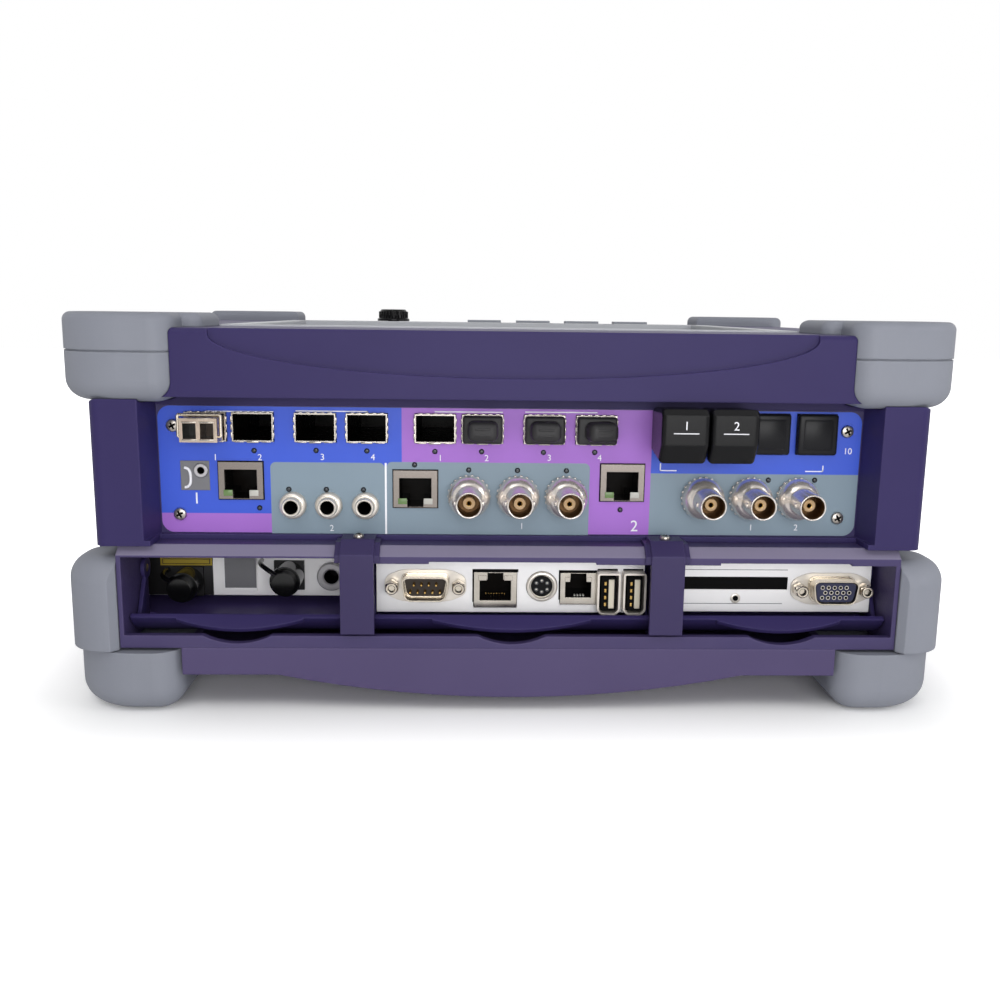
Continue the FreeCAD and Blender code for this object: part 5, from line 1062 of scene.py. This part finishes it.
# Coaxial jacks.
# Turned brass under nickel: a toothed washer against the plate, a domed collar,
# and a barrel with two bayonet lugs round a tan insulator and its centre contact.
COAXIALS = [-16.1, 2.1, 20, 71.1, 89.1, 106.9]
COAX_LEVEL = 79.1
LUG_PLACE = -133.5
WASHER_TEETH = 22
coax_nickel = plated(
    "coax_nickel", tone(248, 242, 236), tone(226, 217, 208), (0.16, 0.3), patina=4, metal=0.75
)
bore_brown = plated("bore_brown", tone(112, 86, 60), tone(76, 58, 40), (0.26, 0.42), patina=3)
core_plastic = moulding(
    "core_plastic", tone(216, 180, 134), tone(198, 160, 114), (0.35, 0.5),
    grain=0.3, depth=0.004, wear=0.3,
)
coax_parts = []
core_parts = []
for x in COAXIALS:
    at = (x, MODULE_PLATE, COAX_LEVEL)
    barrel = [
        (4.6, 18, 0), (4.6, 0, 0), (7.6, 0, 0), (7.6, -1, 0), (7.2, -1.2, 0), (7.2, -1.5, 0),
        (7.8, -1.8, 0), (7.9, -2.6, 0), (7.8, -3.6, 0), (7.5, -4.6, 0), (7, -5.6, 0),
        (6.3, -6.5, 0), (5.6, -7.1, 0), (5, -7.5, 0), (4.83, -7.8, 0), (4.83, -18.7, 0),
        (4.65, -19.2, 0), (4.4, -19.3, 0), (4.15, -19.1, 1), (4.05, -18.6, 1), (4.05, -9.7, 1),
        (0, -9.7, 1),
    ]
    coax_parts.append(turned(barrel, at))
    for near, far in ((4.4, 5.5), (-4.4, -5.5)):
        lug = [(0.9, near, 0), (1, far * 0.97, 0), (0.75, far, 0), (0, far, 0)]
        coax_parts.append(turned(lug, (x, LUG_PLACE, COAX_LEVEL), "X", steps=16))
    for number in range(WASHER_TEETH):
        tooth = block((7.7, -0.55, 0), (0.8, 0.9, 0.9), 0.15, segments=1)
        coax_parts.append(placed(tooth, at, 360 * number / WASHER_TEETH, "Y"))
    core = [
        (0, -9.6, 0), (2.3, -9.6, 0), (2.3, -14.4, 0), (2.1, -14.8, 0), (1, -14.8, 1),
        (0.7, -14.6, 2), (0.6, -14.4, 2), (0.6, -10, 2), (0, -10, 2),
    ]
    core_parts.append(turned(core, at, steps=28))
piece("coax_barrels", coax_parts, [coax_nickel, bore_brown], replaced=["coax_jacks"])
piece(
    "coax_insulators", core_parts, [core_plastic, gold, painted_shade_black],
    replaced=["coax_cores"],
)

# Optical adaptors with their caps and covers.
# Square black adaptors; two wear tall slanted caps with a
# printed number, two wear flat covers on short plugs.
black_plastic = moulding(
    "black_plastic", tone(15, 15, 17), tone(11, 11, 13), (0.16, 0.27),
    grain=0.3, depth=0.006, rounding=0.9, wear=0.2, gloss=0.22,
)
cover_plastic = moulding(
    "cover_plastic", tone(24, 24, 28), tone(19, 19, 22), (0.26, 0.38),
    grain=0.3, depth=0.01, rounding=0.9, wear=0.35, gloss=0.2,
)
dress(black_plastic, "optical_adaptors", "optical_cap_left", "optical_cap_right")
CAP_FACE = -140
DIGIT_LEVEL, BAR_LEVEL = 108.2, 105.6
COVER_BACK, COVER_LEVEL = -120, 103.4
for name, x, number in (("optical_cap_left", 59.7, "1"), ("optical_cap_right", 77.3, "2")):
    print_parts = [
        numeral(number, (x, CAP_FACE, DIGIT_LEVEL), 3),
        block((x, CAP_FACE, BAR_LEVEL), (9, INK_DEPTH, 0.35)),
    ]
    piece(f"{name}_print", print_parts, [white_ink], name)
for name, x in (("optical_cover_left", 94.9), ("optical_cover_right", 112.5)):
    stub = [(0, 7.9, 0), (1.2, 7.9, 0), (1.24, 7.6, 0), (1.24, 0, 0)]
    slab = block((x, COVER_BACK - 1.1, COVER_LEVEL), (14.8, 2.2, 15.2), 1, segments=4)
    inset = block((x, COVER_BACK - 2.2, COVER_LEVEL), (10.4, 0.4, 10.8), 0.18)
    parts = [slab, inset, turned(stub, (x, COVER_BACK, COVER_LEVEL), steps=20)]
    piece(f"{name}_slab", parts, [cover_plastic], name, replaced=[name])

# Top housing and bumpers.
# A moulded lid with a smile-shaped scoop over the module, and
# four soft grey bumpers on its corners.
dress(purple_plastic, "top_housing")
dress(bumper_rubber, "upper_bumpers")

# Display.
# A moulded bezel round a sheet of glass over the dark panel, let into the lid; its pale grey
# is a painted reflection of the glare on the top face.
screen_glass = moulding(
    "screen_glass", tone(18, 22, 26), tone(14, 18, 22), (0.2, 0.28), grain=2, depth=0.001, wear=0.05
)
dress(screen_glass, "display_glass", "display_panel")
bezel_glare_grey = moulding(
    "bezel_glare_grey", tone(190, 192, 198), tone(178, 180, 187), (0.3, 0.44), rounding=0.8, wear=0.2
)
dress(bezel_glare_grey, "display_bezel")

# Keys.
# Four grey moulded keys on sprung stems, each with a raised plain number.
key_plastic = moulding(
    "key_plastic", tone(150, 154, 160), tone(138, 142, 150), (0.42, 0.55), rounding=0.8, wear=0.3
)
dress(key_plastic, "key_1", "key_2", "key_3", "key_4")
KEY_COLUMNS = (-8, 20, 48, 76)
KEY_ROW, KEY_TOP = 104, 141.6
for number, x in enumerate(KEY_COLUMNS, start=1):
    mark = numeral(str(number), (x, KEY_ROW, KEY_TOP), 5, flat=True)
    piece(f"key_{number}_mark", [mark], [white_ink], f"key_{number}")

# Knob.
# A black moulded knob on the encoder's shaft, with ribs round its grip and a white pointer line.
KNOB_AT = (-60.6, 110)
KNOB_RIBS = 28
KNOB_TOP = 147
dress(black_plastic, "knob")
ribs = []
for number in range(KNOB_RIBS):
    rib = block((8.1, 0, KNOB_TOP - 3), (0.7, 0.7, 3.6), 0.25)
    ribs.append(placed(rib, (*KNOB_AT, 0), 360 * number / KNOB_RIBS, "Z"))
pointer = (KNOB_AT[0], KNOB_AT[1] - 4.4, KNOB_TOP)
ribs.append(block(pointer, (0.8, 3.6, 0.2), 0.08, segments=1, coat=1))
piece("knob_ribs", ribs, [black_plastic, white_ink], "knob")

# Fan, battery and boards.
# A bought axial fan behind the rear vents, a shrink-wrapped pack,
# glass-fibre boards in green solder mask and the cast grey optical block.
dress(black_plastic, "fan_frame", "fan_rotor", "battery_pack")
board_green = moulding(
    "board_green", tone(24, 84, 52), tone(18, 66, 42), (0.3, 0.45),
    grain=0.5, depth=0.006, rounding=0.5, wear=0.25,
)
dress(board_green, "main_board", "module_board", "key_board")
block_grey = moulding(
    "block_grey", tone(120, 122, 126), tone(104, 106, 110), (0.4, 0.55),
    grain=0.6, depth=0.02, rounding=0.5, wear=0.25,
)
dress(block_grey, "optical_block")

# Studio.
# A pale seamless floor that fades to white away from the instrument, three broad lamps
# above, in front and at the side, and a white room that is darker behind the camera.
FLOOR_DROP = 0.0002
FOOTPRINT = (0.14, 0.12, 0)
FADE_LENGTH = 0.1
floor_shape = bmesh.new()
bmesh.ops.create_grid(floor_shape, x_segments=1, y_segments=1, size=3)
floor_mesh = bpy.data.meshes.new("floor")
floor_shape.to_mesh(floor_mesh)
floor_shape.free()
floor = bpy.data.objects.new("floor", floor_mesh)
floor_mesh.transform(Matrix.Translation((0, 0, -FLOOR_DROP)))
bpy.context.scene.collection.objects.link(floor)
floor_sockets = {"Roughness": 0.9, "Emission Color": (1, 1, 1, 1)}
floor_paint, floor_tree, floor_shader = finish("floor_paint", floor_sockets)
floor_place = own_place(floor_tree)
floor_cloud = noise(floor_tree, floor_place, 400)
floor_colour = blended(floor_tree, floor_cloud, tone(246, 246, 246), tone(250, 250, 250))
floor_tree.links.new(floor_colour, floor_shader.inputs["Base Color"])
seen = wire(floor_tree, "ShaderNodeLightPath").outputs["Is Camera Ray"]
away = distance_past(floor_tree, floor_place, FOOTPRINT)
white = between(floor_tree, away, 0, 1, 0, FADE_LENGTH)
glow = scalar(floor_tree, "MULTIPLY", seen, white)
floor_tree.links.new(glow, floor_shader.inputs["Emission Strength"])
floor_mesh.materials.append(floor_paint)

ROOM_LIGHT = 0.48
world = bpy.data.worlds.new("studio")
bpy.context.scene.world = world
world.use_nodes = True
sky = world.node_tree
backdrop = sky.nodes["Background"]
backdrop.inputs["Color"].default_value = (1, 1, 1, 1)
paths = wire(sky, "ShaderNodeLightPath").outputs
toward = wire(sky, "ShaderNodeTexCoord").outputs["Generated"]
heading = wire(sky, "ShaderNodeSeparateXYZ", {0: toward}).outputs
room = between(sky, heading["Y"], 0.2, 1, -0.75, 0.1)
mirrored = scalar(sky, "MAXIMUM", paths["Is Glossy Ray"], paths["Is Transmission Ray"])
soft = wire(sky, "ShaderNodeMix", {0: mirrored, 2: ROOM_LIGHT, 3: room}).outputs[0]
strength = wire(sky, "ShaderNodeMix", {0: paths["Is Camera Ray"], 2: soft, 3: 1}).outputs[0]
sky.links.new(strength, backdrop.inputs["Strength"])


def lamp(name, power, size, at, aim):
    """A broad rectangular lamp that faces a point."""
    light = bpy.data.lights.new(name, "AREA")
    light.energy = power
    light.shape = "RECTANGLE"
    light.size, light.size_y = size
    made = bpy.data.objects.new(name, light)
    made.location = at
    made.rotation_euler = (Vector(aim) - Vector(at)).to_track_quat("-Z", "Y").to_euler()
    bpy.context.scene.collection.objects.link(made)


lamp("key_lamp", 2.6, (0.9, 0.5), (-0.25, -0.75, 0.95), (0, -0.1, 0.06))
lamp("front_lamp", 4.4, (0.7, 0.4), (0.1, -1.1, 0.24), (0, -0.12, 0.05))
lamp("side_lamp", 2.4, (0.5, 0.6), (0.95, -0.5, 0.5), (0, 0, 0.07))

camera_data = bpy.data.cameras.new("camera")
camera_data.sensor_width = 36
camera_data.lens = 36.55
camera = bpy.data.objects.new("camera", camera_data)
camera.matrix_world = (
    Matrix.Translation((-0.01624, -0.49082, 0.14711))
    @ Matrix.Rotation(math.radians(-1.8), 4, "Z")
    @ Matrix.Rotation(math.radians(79.43), 4, "X")
    @ Matrix.Rotation(math.radians(0.74), 4, "Z")
)
bpy.context.scene.collection.objects.link(camera)
bpy.context.scene.camera = camera
bpy.context.scene.view_settings.view_transform = "Standard"
